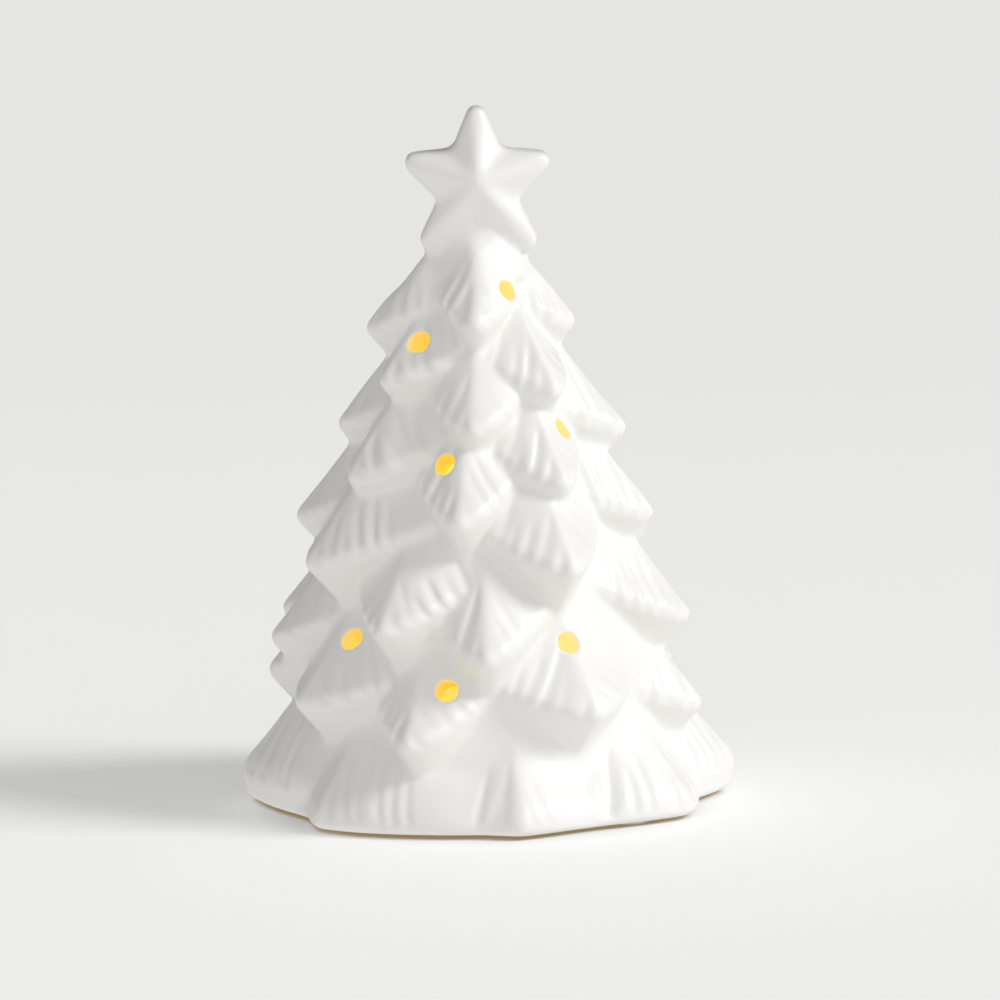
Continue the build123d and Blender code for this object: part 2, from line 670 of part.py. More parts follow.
# Resistor on two bent wires
resistor_x, resistor_y = RESISTOR_PLACE
wire_reach = RESISTOR_LENGTH / 2 + RESISTOR_WIRE_REACH
with BuildPart() as resistor:
    with BuildSketch(Plane.YZ.offset(resistor_x)):
        with Locations((resistor_y, board_top + RESISTOR_RADIUS)):
            Circle(RESISTOR_RADIUS)
    extrude(amount=RESISTOR_LENGTH / 2, both=True)
    fillet(resistor.edges().filter_by(GeomType.CIRCLE), radius=RESISTOR_RADIUS / 2)
    with BuildSketch(Plane.YZ.offset(resistor_x)):
        with Locations((resistor_y, board_top + RESISTOR_RADIUS)):
            Circle(RESISTOR_WIRE_RADIUS)
    extrude(amount=wire_reach, both=True)
    with BuildSketch(Plane.XY.offset(board_top)):
        with Locations((resistor_x, resistor_y)):
            with GridLocations(2 * wire_reach, 0, 2, 1):
                Circle(RESISTOR_WIRE_RADIUS)
    extrude(amount=RESISTOR_RADIUS)

resistor.part.label = "resistor"
export_step(resistor.part, "parts/resistor.step")

# Capacitor can with its crimp above the board
with BuildPart() as capacitor:
    with BuildSketch(Plane.XY.offset(board_top)):
        with Locations(CAPACITOR_PLACE):
            Circle(CAPACITOR_RADIUS)
    extrude(amount=CAPACITOR_HEIGHT)
    fillet(capacitor.edges().filter_by(GeomType.CIRCLE), radius=CAPACITOR_CRIMP)
    with BuildSketch(Plane.XY.offset(board_top + CAPACITOR_CRIMP_HEIGHT)):
        with Locations(CAPACITOR_PLACE):
            Circle(CAPACITOR_RADIUS)
            Circle(CAPACITOR_RADIUS - CAPACITOR_CRIMP, mode=Mode.SUBTRACT)
    extrude(amount=CAPACITOR_CRIMP, mode=Mode.SUBTRACT)

capacitor.part.label = "capacitor"
export_step(capacitor.part, "parts/capacitor.step")

# Diode: a flanged, domed lens that stands up through the cover
with BuildPart() as led_lens:
    with BuildSketch(Plane.XY.offset(body_top - LED_FLANGE_HEIGHT)):
        Circle(LED_FLANGE_RADIUS)
    extrude(amount=LED_FLANGE_HEIGHT)
    with BuildSketch(Plane.XZ):
        with BuildLine():
            stem_top = body_top + LED_STEM_HEIGHT
            Line((0, body_top), (LED_RADIUS, body_top))
            Line((LED_RADIUS, body_top), (LED_RADIUS, stem_top))
            CenterArc((0, stem_top), LED_RADIUS, 0, 90)
            Line((0, stem_top + LED_RADIUS), (0, body_top))
        make_face()
    revolve(axis=Axis.Z)

led_lens.part.label = "led_lens"
export_step(led_lens.part, "parts/led_lens.step")

# The diode's two square leads, through the board
with BuildPart() as led_leads:
    with BuildSketch(Plane.XY.offset(board_under - LEAD_TAIL)):
        with Locations(*lead_places):
            Rectangle(LEAD_WIDTH, LEAD_WIDTH)
    extrude(amount=body_top - LED_FLANGE_HEIGHT - board_under + LEAD_TAIL)

led_leads.part.label = "led_leads"
export_step(led_leads.part, "parts/led_leads.step")

# Slide switch: an open can under the board
with BuildPart() as switch_can:
    with BuildSketch(Plane.XY.offset(switch_under)):
        with Locations((switch_x, 0)):
            Rectangle(SWITCH_WIDTH, SWITCH_LENGTH)
    extrude(amount=SWITCH_HEIGHT)
    with BuildSketch(Plane.XY.offset(switch_under + SWITCH_WALL)):
        with Locations((switch_x, 0)):
            Rectangle(SWITCH_WIDTH - 2 * SWITCH_WALL, SWITCH_LENGTH - 2 * SWITCH_WALL)
    extrude(amount=SWITCH_HEIGHT - SWITCH_WALL, mode=Mode.SUBTRACT)
    with BuildSketch(Plane.XY.offset(switch_under)):
        with Locations((switch_x, 0)):
            Rectangle(KNOB_WIDTH + 2 * KNOB_CLEARANCE, KNOB_LENGTH + SWITCH_TRAVEL + 2 * KNOB_CLEARANCE)
    extrude(amount=SWITCH_WALL, mode=Mode.SUBTRACT)

switch_can.part.label = "switch_can"
export_step(switch_can.part, "parts/switch_can.step")

# Phenolic plate that closes the can under the board
with BuildPart() as switch_base:
    with BuildSketch(Plane.XY.offset(board_under - SWITCH_BASE_HEIGHT)):
        with Locations((switch_x, 0)):
            Rectangle(SWITCH_WIDTH - 2 * SWITCH_WALL, SWITCH_LENGTH - 2 * SWITCH_WALL)
    extrude(amount=SWITCH_BASE_HEIGHT)

switch_base.part.label = "switch_base"
export_step(switch_base.part, "parts/switch_base.step")

# The switch's pins, through the board
with BuildPart() as switch_pins:
    with BuildSketch(Plane.XY.offset(board_under)):
        with Locations((switch_x, 0)):
            with GridLocations(0, SWITCH_PIN_PITCH, 1, SWITCH_PIN_COUNT):
                Rectangle(LEAD_WIDTH, LEAD_WIDTH)
    extrude(amount=BOARD_THICKNESS + SWITCH_PIN_TAIL)

switch_pins.part.label = "switch_pins"
export_step(switch_pins.part, "parts/switch_pins.step")

# Switch knob, at its on end, with a wide root inside the can and a grooved end in the flange's slot
knob_end = flange_bottom + KNOB_RECESS
root_bottom = switch_under + SWITCH_WALL + KNOB_CLEARANCE
with BuildPart() as switch_knob:
    with BuildSketch(Plane.XY.offset(knob_end)):
        with Locations((switch_x, knob_y)):
            Rectangle(KNOB_WIDTH, KNOB_LENGTH)
    extrude(amount=root_bottom - knob_end)
    with BuildSketch(Plane.XY.offset(root_bottom)):
        with Locations((switch_x, knob_y)):
            Rectangle(KNOB_WIDTH + 2 * KNOB_ROOT_MARGIN, KNOB_LENGTH + 2 * KNOB_ROOT_MARGIN)
    extrude(amount=KNOB_ROOT_HEIGHT)
    with BuildSketch(Plane.XY.offset(knob_end)):
        with Locations((switch_x, knob_y)):
            with GridLocations(0, KNOB_LENGTH / KNOB_GROOVE_COUNT, 1, KNOB_GROOVE_COUNT):
                Rectangle(KNOB_WIDTH, KNOB_GROOVE)
    extrude(amount=KNOB_GROOVE, mode=Mode.SUBTRACT)

switch_knob.part.label = "switch_knob"
export_step(switch_knob.part, "parts/switch_knob.step")

# Minus contact: a bent leaf under the board that presses on the middle of the cell
leaf_top = board_under - CONTACT_THICKNESS / 2
leaf_low = cell_top + CONTACT_GAP + CONTACT_THICKNESS
leaf_start = cell_x - MINUS_ARM_LENGTH
with BuildPart() as contact_minus:
    with BuildSketch(Plane.XZ):
        with BuildLine() as leaf_line:
            Polyline(
                (leaf_start - MINUS_FOOT_LENGTH, leaf_top),
                (leaf_start, leaf_top),
                (cell_x, leaf_low),
                (cell_x + MINUS_TIP_LENGTH, (leaf_low + leaf_top) / 2),
            )
        trace(leaf_line.line, line_width=CONTACT_THICKNESS)
    extrude(amount=CONTACT_WIDTH / 2, both=True)

contact_minus.part.label = "contact_minus"
export_step(contact_minus.part, "parts/contact_minus.step")

# Plus contact: a strip from the board down beside the rim of the cell
strip_y = CELL_RADIUS + CONTACT_GAP
with BuildPart() as contact_plus:
    with BuildSketch(Plane.YZ.offset(cell_x)):
        with BuildLine():
            Polyline(
                (strip_y, cell_top - PLUS_CELL_OVERLAP),
                (strip_y + CONTACT_THICKNESS, cell_top - PLUS_CELL_OVERLAP),
                (strip_y + CONTACT_THICKNESS, board_under - CONTACT_THICKNESS),
                (strip_y + PLUS_FOOT_LENGTH, board_under - CONTACT_THICKNESS),
                (strip_y + PLUS_FOOT_LENGTH, board_under),
                (strip_y, board_under),
                close=True,
            )
        make_face()
    extrude(amount=CONTACT_WIDTH / 2, both=True)

contact_plus.part.label = "contact_plus"
export_step(contact_plus.part, "parts/contact_plus.step")

# Cover: a disc with a spigot, two screw pillars and a hole for the diode
with BuildPart() as light_cover:
    with BuildSketch(Plane.XY.offset(body_top)):
        Circle(BODY_RADIUS)
    extrude(amount=COVER_THICKNESS)
    fillet(light_cover.edges().filter_by(GeomType.CIRCLE).sort_by(Axis.Z)[-1], radius=COVER_ROUND)
    with BuildSketch(Plane.XY.offset(body_top)):
        Circle(inner_radius - COVER_CLEARANCE)
        Circle(inner_radius - COVER_CLEARANCE - SPIGOT_WALL, mode=Mode.SUBTRACT)
    extrude(amount=-SPIGOT_HEIGHT)
    with BuildSketch(Plane.XY.offset(board_top)):
        with Locations(*post_places):
            Circle(PILLAR_RADIUS)
    extrude(amount=body_top - board_top)
    with BuildSketch(Plane.XY.offset(board_top)):
        with Locations(*post_places):
            Circle(CASE_SCREW_RADIUS + SCREW_CLEARANCE)
    extrude(amount=cover_top - board_top, mode=Mode.SUBTRACT)
    with BuildSketch(Plane.XY.offset(case_screw_seat)):
        with Locations(*post_places):
            Circle(CASE_HEAD_RADIUS + CASE_HEAD_CLEARANCE)
    extrude(amount=cover_top - case_screw_seat, mode=Mode.SUBTRACT)
    with BuildSketch(Plane.XY.offset(body_top)):
        Circle(LED_RADIUS + LED_CLEARANCE)
    extrude(amount=COVER_THICKNESS, mode=Mode.SUBTRACT)

light_cover.part.label = "light_cover"
export_step(light_cover.part, "parts/light_cover.step")

# Screws that clamp the cover and the board to the posts
with BuildPart() as case_screws:
    with BuildSketch(Plane.XY.offset(case_screw_seat)):
        with Locations(*post_places):
            Circle(CASE_HEAD_RADIUS)
    extrude(amount=CASE_HEAD_HEIGHT)
    with BuildSketch(Plane.XY.offset(case_screw_seat)):
        with Locations(*post_places):
            Circle(CASE_SCREW_RADIUS)
    extrude(amount=-CASE_SCREW_LENGTH)
    with BuildSketch(Plane.XY.offset(case_screw_seat + CASE_HEAD_HEIGHT)):
        with Locations(*post_places):
            Rectangle(CASE_HEAD_RADIUS, CROSS_WIDTH)
            Rectangle(CROSS_WIDTH, CASE_HEAD_RADIUS)
    extrude(amount=-CROSS_DEPTH, mode=Mode.SUBTRACT)

case_screws.part.label = "case_screws"
export_step(case_screws.part, "parts/case_screws.step")
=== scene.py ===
import math

import bmesh
import bpy
import numpy as np
from mathutils import Matrix, Vector
from mathutils.kdtree import KDTree


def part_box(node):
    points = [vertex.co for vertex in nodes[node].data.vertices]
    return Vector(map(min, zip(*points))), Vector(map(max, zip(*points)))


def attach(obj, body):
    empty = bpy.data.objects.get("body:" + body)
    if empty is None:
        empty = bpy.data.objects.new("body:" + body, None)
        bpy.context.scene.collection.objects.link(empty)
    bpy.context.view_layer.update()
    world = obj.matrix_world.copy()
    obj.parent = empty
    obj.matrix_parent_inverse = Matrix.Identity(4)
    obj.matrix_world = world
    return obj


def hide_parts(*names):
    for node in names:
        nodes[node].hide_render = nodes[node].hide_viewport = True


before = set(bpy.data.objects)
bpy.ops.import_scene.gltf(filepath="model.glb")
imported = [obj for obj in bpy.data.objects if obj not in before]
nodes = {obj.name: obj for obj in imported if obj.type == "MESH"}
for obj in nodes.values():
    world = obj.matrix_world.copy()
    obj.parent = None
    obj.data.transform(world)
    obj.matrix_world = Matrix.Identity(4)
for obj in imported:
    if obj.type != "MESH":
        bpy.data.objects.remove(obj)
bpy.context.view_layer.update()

# Lengths are millimetres until a mesh is made, and MM turns them to metres.
# Azimuths are degrees from the front of the tree, positive towards its right.
MM = 0.001

tree_low, tree_high = (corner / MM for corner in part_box("ceramic_tree"))
housing_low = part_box("light_housing")[0] / MM

# Trunk under the boughs and line of the bough tips, as heights and radii
FOOT_HEIGHT = tree_low.z
TREE_TOP = tree_high.z
TRUNK = (
    (0.0, 44.0),
    (12.0, 37.3),
    (31.0, 34.0),
    (52.6, 28.5),
    (71.0, 20.5),
    (90.7, 12.5),
    (104.0, 8.0),
    (112.0, 5.0),
    (121.0, 2.0),
)
TIPS = (
    (4.8, 49.3),
    (22.0, 44.5),
    (35.0, 42.3),
    (50.0, 40.2),
    (58.0, 36.0),
    (76.4, 28.5),
    (95.8, 20.7),
)

# Most that the boughs may stand out under the star
NECK = (
    (98.0, 24.0),
    (104.0, 16.0),
    (109.0, 11.8),
    (111.5, 9.5),
    (113.5, 7.2),
    (115.5, 4.8),
    (121.0, 2.5),
)
NECK_ROUND = 1.2

# Boughs: azimuth, height of the tip, how far it stands past the line of tips, how steeply its lower
# edge rises away from the tip, the slopes of its left and right faces in millimetres of radius per
# millimetre aside, how deep the needle grooves are on these faces, and how far round the tree the bough
# is repeated. The back repeats the front boughs, about half a turn away.
FRONT_BOUGHS = (
    (-3, 97.4, 0.0, 0.5, 0.33, 0.33, 1.0, 0.3, 180),
    (-52.5, 86.2, 0.0, 0.4, 0.4, 0.22, 0.7, 1.1, 198),
    (36, 84.4, 0.0, 0.45, 0.33, 0.33, 1.0, 0.5, 180),
    (-4, 77.6, 0.0, 0.5, 0.33, 0.26, 1.0, 0.3, 180),
    (-56, 67.8, 0.0, 0.35, 0.4, 0.2, 0.8, 1.2, 190),
    (30, 66.8, 0.0, 0.5, 0.33, 0.33, 1.0, 0.5, 180),
    (-8, 60.4, 0.0, 0.6, 0.33, 0.26, 1.0, 0.5, 180),
    (-62, 51.0, 0.0, 0.3, 0.33, 0.22, 0.8, 1.0, 188),
    (26, 51.2, 0.0, 0.4, 0.3, 0.36, 1.0, 0.4, 180),
    (-30, 39.7, 0.0, 0.5, 0.33, 0.24, 1.0, 0.8, 180),
    (78, 37.9, 0.0, 0.35, 0.26, 0.33, 0.9, 0.7, 180),
    (0, 34.8, 0.0, 0.5, 0.4, 0.26, 1.0, 0.3, 180),
    (-58, 23.9, 0.0, 0.22, 0.33, 0.24, 0.6, 1.3, 180),
    (29, 23.4, 0.0, 0.25, 0.27, 0.27, 0.8, 0.4, 180),
    (-20.5, 18.4, 0.0, 0.55, 0.38, 0.25, 1.0, 0.7, 180),
)
SIDE_BOUGHS = (
    (-84, 95.5, 2.0, 0.35, 0.33, 0.33, 1.0, 0.6),
    (-87, 76.4, 0.3, 0.35, 0.33, 0.33, 1.0, 0.6),
    (-88, 58.0, 1.4, 0.35, 0.33, 0.33, 1.0, 0.6),
    (-88, 33.5, 0.7, 0.35, 0.33, 0.33, 1.0, 0.6),
    (-96, 26.0, 0.5, 0.35, 0.33, 0.33, 1.0, 0.6),
    (86, 96.3, -1.5, 0.35, 0.33, 0.33, 1.0, 0.6),
    (84, 74.9, -0.4, 0.35, 0.33, 0.33, 1.0, 0.6),
    (78, 58.2, -1.5, 0.35, 0.33, 0.33, 1.0, 0.6),
    (76, 20.2, -1.0, 0.35, 0.33, 0.33, 1.0, 0.6),
)
# Lowest boughs, which spread into the foot: azimuth, radius and height of the tip, slopes of the left and
# right faces, and how deep the grooves are on them. The back repeats them half a turn away.
BASE_BOUGHS = (
    (-90, 49.3, 7.5, 0.4, 0.24, 0.8, 0.8),
    (-44, 48.4, 3.9, 0.55, 0.16, 0.8, 0.5),
    (8, 46.4, 3.9, 0.45, 0.28, 1.0, 0.2),
    (55, 48.4, 3.9, 0.28, 0.36, 1.0, 0.9),
)
BASE_FACE_SLOPE = 0.85
BASE_UNDER_SLOPE = 0.25

# Slopes of a bough up its ridge and down its underside, how soft its edges are, how sharp the valleys
# between boughs are, and how far the glaze softens all of it
FACE_SLOPE = 0.8
UNDER_SLOPE = 0.92
RIDGE_ROUND = 1.0
TIP_ROUND = 2.6
EDGE_ROUND = 3.0
VALLEY_SHARPNESS = 1.5
GLAZE_SOFTENING = 0.42

# Needle grooves, pressed by hand into the lower part of each face: how far apart they are, how much each
# one may differ, how they lean and taper, and how far from the ridge they reach full depth
GROOVE_COUNT = 6
GROOVE_FIRST = 2.6
GROOVE_PITCH = 3.2
GROOVE_SHIFT = 0.9
GROOVE_WIDTH = (0.6, 0.95)
GROOVE_DEPTH = (0.35, 1.25)
GROOVE_REACH = (7.0, 17.0)
GROOVE_FADE = 7.0
GROOVE_START = (-1.8, -0.2)
GROOVE_FAN = 7
GROOVE_LEAN_LEFT = (22, 34)
GROOVE_LEAN_RIGHT = (34, 50)
BASE_GROOVE_LEAN = (10, 24)
GROOVE_TAPER = (1.3, 0.6)
GROOVE_FROM_RIDGE = (0.6, 2.0)

# Slow unevenness of a hand-finished casting: waves, each with its own count round the tree and its own
# radians per millimetre up the tree
WAVE_COUNT = 14
WAVE_HEIGHT = 0.09
WAVES_AROUND = (2, 14)
WAVES_UPWARD = (0.05, 0.5)
SEED = 4

# Grid of the tree's skin, and its edge round the foot
COLUMNS = 600
ROW_STEP = 0.45
NECK_TOP = 121.0
EVEN_ABOVE = 99.0
EVEN_SPACING = 0.3
LIP_ROUND = 1.4
BARE_EDGE = 0.25
ROUND_SEGMENTS = 48
SHARP_ANGLE = 60

# Foot, floor and hollow, which follow the solid's
FOOT_RING_WIDTH = 9.0
FOOT_RING_SHARES = (0.1, 0.5, 0.9)
FOOT_RADIUS = 43.6
FLANGE_THICKNESS = 2.0
FLOOR_THICKNESS = 4.5
FLOOR_UNDER = housing_low.z + FLANGE_THICKNESS
FLOOR_TOP = FLOOR_UNDER + FLOOR_THICKNESS
RECESS_EDGE = 0.5
RECESS_DRAFT = 0.4
RECESS_FILLET = 1.0
OPENING_RADIUS = 23.0
OPENING_CHAMFER = 0.6
HOLLOW = (
    (8.5, 35.1),
    (12.0, 33.3),
    (31.0, 30.2),
    (52.6, 24.7),
    (71.0, 16.7),
    (90.7, 8.7),
    (104.0, 4.2),
)
HOLLOW_ROWS = 40
HOLLOW_START = FLOOR_TOP + 0.2
CAP_RISE = 1.0

# Painted glow of the clay, which stands in for the diode's light: the height at which it is full, the
# places across the tree between which it pales to painted sunlight, how far up the roof and the sill of a
# hole face, and how uneven it is
GLOW_HEIGHT = 34.0
SHADY_SIDE = -3.0
SUNNY_SIDE = 7.0
ROOF_FACING = -0.6
SILL_FACING = 0.9
GLOW_UNEVENNESS = 0.1

# Star, its outline on the right as shares of its radius, and the neck that it grows out of, as a height
# and radius at each end
STAR_RADIUS = 16.3
STAR_BELOW_TOP = 15.0
STAR_CENTRE = TREE_TOP - STAR_BELOW_TOP
STAR_DEPTH = 10.6
STAR_RIM = 4.8
STAR_OUTLINE = (
    (0.0, 0.9),
    (0.09, 0.88),
    (0.3, 0.37),
    (0.87, 0.32),
    (0.89, 0.16),
    (0.49, -0.25),
    (0.74, -0.75),
    (0.64, -0.9),
    (0.0, -0.62),
)
STAR_NECK = ((105.0, 11.5), (120.0, 4.5))
STAR_VOXEL = 0.55
STAR_SMOOTHING = 42

# Seams that are rubbed smooth: how far they are rubbed, how many times, and how hard
STAR_SEAM = (3.5, 50)
HOLE_LIP = (0.9, 10)
RUB = 0.5

# Light holes: azimuth and height at the skin. Lengths along a hole count from the skin outwards.
HOLE_RADIUS = 2.1
HOLE_TILT = 22
HOLE_INNER_END = -14.0
HOLE_RINGS = (-6.0, 5.0, 0.5)
HOLE_FLARE = 1.15
HOLE_FLARE_LENGTHS = (-1.0, 1.5)
LIGHT_HOLES = (
    (26.5, 103.7),
    (-42.3, 93.9),
    (44.6, 76.6),
    (-17.0, 71.0),
    (-50.8, 36.2),
    (28.2, 36.3),
    (-12.0, 28.1),
)

# Sizes of the surface patterns, and how deep they are
GLAZE_CLOUD = 30.0
GLAZE_RIPPLE = 4.0
GLAZE_RIPPLE_DEPTH = 0.3
GLAZE_PIT = 3.0
BISQUE_GRIT = 0.5
BISQUE_GRIT_DEPTH = 0.1
LIT_GRIT = 2.0
PLATING_LINE = 0.3
PLATING_LINE_DEPTH = 0.02
TRACK_HEIGHT = 0.04
TIN_GRAIN = 0.25
SLEEVE_WRINKLE = 1.2
SLEEVE_WRINKLE_DEPTH = 0.05

# Printed bands of the resistor and stripe of the capacitor
BANDED_HALF = 1.7
STRIPE_SHARE = 0.36
TOP_FACING = 0.9

# Blender's wave texture runs through this many radians over one unit of its scale.
WAVE_RADIANS = 20

# Studio: the floor and how it fades to the back, its glow, left off round the foot as a painted contact
# shadow, and the light that it throws back, the side from which the room is brightest, and the soft lamp
STUDIO_HALF_WIDTH = 8000.0
STUDIO_TO_FRONT = 4000.0
STUDIO_TO_BACK = 8000.0
STUDIO_FADE = 800.0
FLOOR_GLOW = 0.165
FLOOR_GLOW_FULL_SHARE = 1.15
FLOOR_BOUNCE = 0.9
ROOM_BRIGHT_SIDE = (0.4, -1.0, -0.9)
ROOM_DIMMEST = 0.24
ROOM_BRIGHTEST = 0.94
LAMP_STRENGTH = 1.53
LAMP_SPREAD = 22
LAMP_AZIMUTH = 76
LAMP_ELEVATION = 36

# Camera: how far away it is, how far up, its roll, what it aims at, and how wide the picture is there
CAMERA_DISTANCE = 1000.0
CAMERA_ELEVATION = 8
CAMERA_ROLL = -1.06
CAMERA_AIM = (3.3, 0.0, 60.3)
PICTURE_WIDTH = 200.6
SENSOR_WIDTH = 36

# Material slots of the tree's mesh
GLAZED, BARE, LIT_INSIDE, LIT_WALL = range(4)


def linear(hex_colour):
    """An sRGB hex colour as linear red, green, blue and alpha."""
    channels = [int(hex_colour[i : i + 2], 16) / 255 for i in (1, 3, 5)]
    return tuple(c / 12.92 if c <= 0.04045 else ((c + 0.055) / 1.055) ** 2.4 for c in channels) + (1.0,)


def per_metre(size):
    """Texture scale at which one feature is that many millimetres across."""
    return 1 / (size * MM)


def connect(net, node, inputs):
    """Sets a node's inputs, or links them where the value is another node's output."""
    for name, value in inputs.items():
        if isinstance(value, bpy.types.NodeSocket):
            net.links.new(value, node.inputs[name])
        else:
            node.inputs[name].default_value = value


def add_node(net, kind, inputs, **settings):
    """Adds a node with its settings and links."""
    node = net.nodes.new(kind)
    for name, value in settings.items():
        setattr(node, name, value)
    connect(net, node, inputs)
    return node


def new_material(name):
    """A node material, its net of nodes, its shader and the place on the piece as a texture coordinate."""
    material = bpy.data.materials.new(name)
    material.use_nodes = True
    net = material.node_tree
    shader = net.nodes["Principled BSDF"]
    place = add_node(net, "ShaderNodeTexCoord", {}).outputs["Object"]
    return material, net, shader, place


def glazed_porcelain():
    """White porcelain under a poured glaze: a soft gloss, a slow ripple, a white that varies in slow
    clouds.
    """
    material, net, shader, place = new_material("glazed_porcelain")
    cloud = add_node(
        net,
        "ShaderNodeTexNoise",
        {"Vector": place, "Scale": per_metre(GLAZE_CLOUD), "Detail": 3.0},
    )
    colour = add_node(
        net,
        "ShaderNodeMix",
        {"Factor": cloud.outputs["Fac"], "A": linear("#EFEEEA"), "B": linear("#F6F5F3")},
        data_type="RGBA",
    )
    ripple = add_node(
        net,
        "ShaderNodeTexNoise",
        {"Vector": place, "Scale": per_metre(GLAZE_RIPPLE), "Detail": 2.0},
    )
    pits = add_node(
        net,
        "ShaderNodeTexNoise",
        {"Vector": place, "Scale": per_metre(GLAZE_PIT), "Detail": 1.0},
    )
    gloss = add_node(
        net,
        "ShaderNodeMapRange",
        {"Value": pits.outputs["Fac"], "To Min": 0.35, "To Max": 0.43},
    )
    waves = add_node(
        net,
        "ShaderNodeBump",
        {"Height": ripple.outputs["Fac"], "Strength": 0.2, "Distance": GLAZE_RIPPLE_DEPTH * MM},
    )
    connect(
        net,
        shader,
        {
            "Base Color": colour.outputs["Result"],
            "Roughness": gloss.outputs["Result"],
            "IOR": 1.5,
            "Normal": waves.outputs["Normal"],
        },
    )
    return material


def bare_bisque():
    """Fired clay wiped clean of glaze: matt, sandy and a warm tan."""
    material, net, shader, place = new_material("bare_bisque")
    grit = add_node(
        net,
        "ShaderNodeTexNoise",
        {"Vector": place, "Scale": per_metre(BISQUE_GRIT), "Detail": 4.0},
    )
    colour = add_node(
        net,
        "ShaderNodeMix",
        {"Factor": grit.outputs["Fac"], "A": linear("#86704A"), "B": linear("#A68C60")},
        data_type="RGBA",
    )
    sandy = add_node(
        net,
        "ShaderNodeBump",
        {"Height": grit.outputs["Fac"], "Strength": 0.5, "Distance": BISQUE_GRIT_DEPTH * MM},
    )
    connect(
        net,
        shader,
        {
            "Base Color": colour.outputs["Result"],
            "Roughness": 0.85,
            "Normal": sandy.outputs["Normal"],
        },
    )
    return material


def lit_bisque(name, clay, roof_glow, sill_glow, sunny_glow, strength, low_share):
    """Bare clay with the diode's warm light painted on as glow: amber on a roof, yellow on a sill, paler on
    the sunny side as painted sunlight.
    """
    material, net, shader, place = new_material(name)
    parts = add_node(net, "ShaderNodeSeparateXYZ", {"Vector": place})
    # Painted fall-off of the diode's light: the glow is dimmer towards the floor of the hollow.
    lit = add_node(
        net,
        "ShaderNodeMapRange",
        {
            "Value": parts.outputs["Z"],
            "From Min": FLOOR_TOP * MM,
            "From Max": GLOW_HEIGHT * MM,
            "To Min": low_share,
        },
    )
    facing = add_node(net, "ShaderNodeNewGeometry", {}).outputs["Normal"]
    upward = add_node(net, "ShaderNodeSeparateXYZ", {"Vector": facing}).outputs["Z"]
    # Painted light and shade in a hole: amber where the wall faces down, yellow where it faces up.
    sill = add_node(
        net,
        "ShaderNodeMapRange",
        {"Value": upward, "From Min": ROOF_FACING, "From Max": SILL_FACING},
    )
    # Painted sunlight: the glow pales on the side of the tree that the lamp lights.
    sunny = add_node(
        net,
        "ShaderNodeMapRange",
        {"Value": parts.outputs["X"], "From Min": SHADY_SIDE * MM, "From Max": SUNNY_SIDE * MM},
    )
    warm = add_node(
        net,
        "ShaderNodeMix",
        {"Factor": sill.outputs["Result"], "A": linear(roof_glow), "B": linear(sill_glow)},
        data_type="RGBA",
    )
    glow = add_node(
        net,
        "ShaderNodeMix",
        {"Factor": sunny.outputs["Result"], "A": warm.outputs["Result"], "B": linear(sunny_glow)},
        data_type="RGBA",
    )
    grit = add_node(
        net,
        "ShaderNodeTexNoise",
        {"Vector": place, "Scale": per_metre(LIT_GRIT), "Detail": 3.0},
    )
    uneven = add_node(
        net,
        "ShaderNodeMapRange",
        {
            "Value": grit.outputs["Fac"],
            "To Min": (1 - GLOW_UNEVENNESS) * strength,
            "To Max": (1 + GLOW_UNEVENNESS) * strength,
        },
    )
    share = add_node(
        net,
        "ShaderNodeMath",
        {0: uneven.outputs["Result"], 1: lit.outputs["Result"]},
        operation="MULTIPLY",
    )
    connect(
        net,
        shader,
        {
            "Base Color": linear(clay),
            "Roughness": 0.85,
            "Emission Color": glow.outputs["Result"],
            "Emission Strength": share.outputs["Value"],
        },
    )
    return material


def middle(node):
    """Middle of a piece's box."""
    low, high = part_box(node)
    return (low + high) / 2


def moulded(name, dark, light, grain, depth, gloss, finish):
    """A moulded plastic or rubber, whose skin has the fine grain of the tool it came out of."""
    material, net, shader, place = new_material(name)
    skin = add_node(
        net,
        "ShaderNodeTexNoise",
        {"Vector": place, "Scale": per_metre(grain), "Detail": 3.0},
    )
    colour = add_node(
        net,
        "ShaderNodeMix",
        {"Factor": skin.outputs["Fac"], "A": linear(dark), "B": linear(light)},
        data_type="RGBA",
    )
    shine = add_node(
        net,
        "ShaderNodeMapRange",
        {"Value": skin.outputs["Fac"], "To Min": gloss - 0.08, "To Max": gloss + 0.08},
    )
    bump = add_node(
        net,
        "ShaderNodeBump",
        {"Height": skin.outputs["Fac"], "Strength": 0.4, "Distance": depth * MM},
    )
    connect(
        net,
        shader,
        {
            "Base Color": colour.outputs["Result"],
            "Roughness": shine.outputs["Result"],
            "Normal": bump.outputs["Normal"],
            **finish,
        },
    )
    return material


def plated(name, dark, light, stretch, gloss):
    """A plated metal. The plating keeps the lines that rolling or drawing left, finer across than along."""
    material, net, shader, place = new_material(name)
    # Real lines are some hundredths of a millimetre apart; they are drawn wider so that they show.
    drawn = add_node(net, "ShaderNodeMapping", {"Vector": place, "Scale": stretch})
    lines = add_node(
        net,
        "ShaderNodeTexNoise",
        {"Vector": drawn.outputs["Vector"], "Scale": per_metre(PLATING_LINE), "Detail": 3.0},
    )
    colour = add_node(
        net,
        "ShaderNodeMix",
        {"Factor": lines.outputs["Fac"], "A": linear(dark), "B": linear(light)},
        data_type="RGBA",
    )
    shine = add_node(
        net,
        "ShaderNodeMapRange",
        {"Value": lines.outputs["Fac"], "To Min": gloss - 0.08, "To Max": gloss + 0.1},
    )
    bump = add_node(
        net,
        "ShaderNodeBump",
        {"Height": lines.outputs["Fac"], "Strength": 0.15, "Distance": PLATING_LINE_DEPTH * MM},
    )
    connect(
        net,
        shader,
        {
            "Base Color": colour.outputs["Result"],
            "Metallic": 1.0,
            "Roughness": shine.outputs["Result"],
            "Normal": bump.outputs["Normal"],
        },
    )
    return material


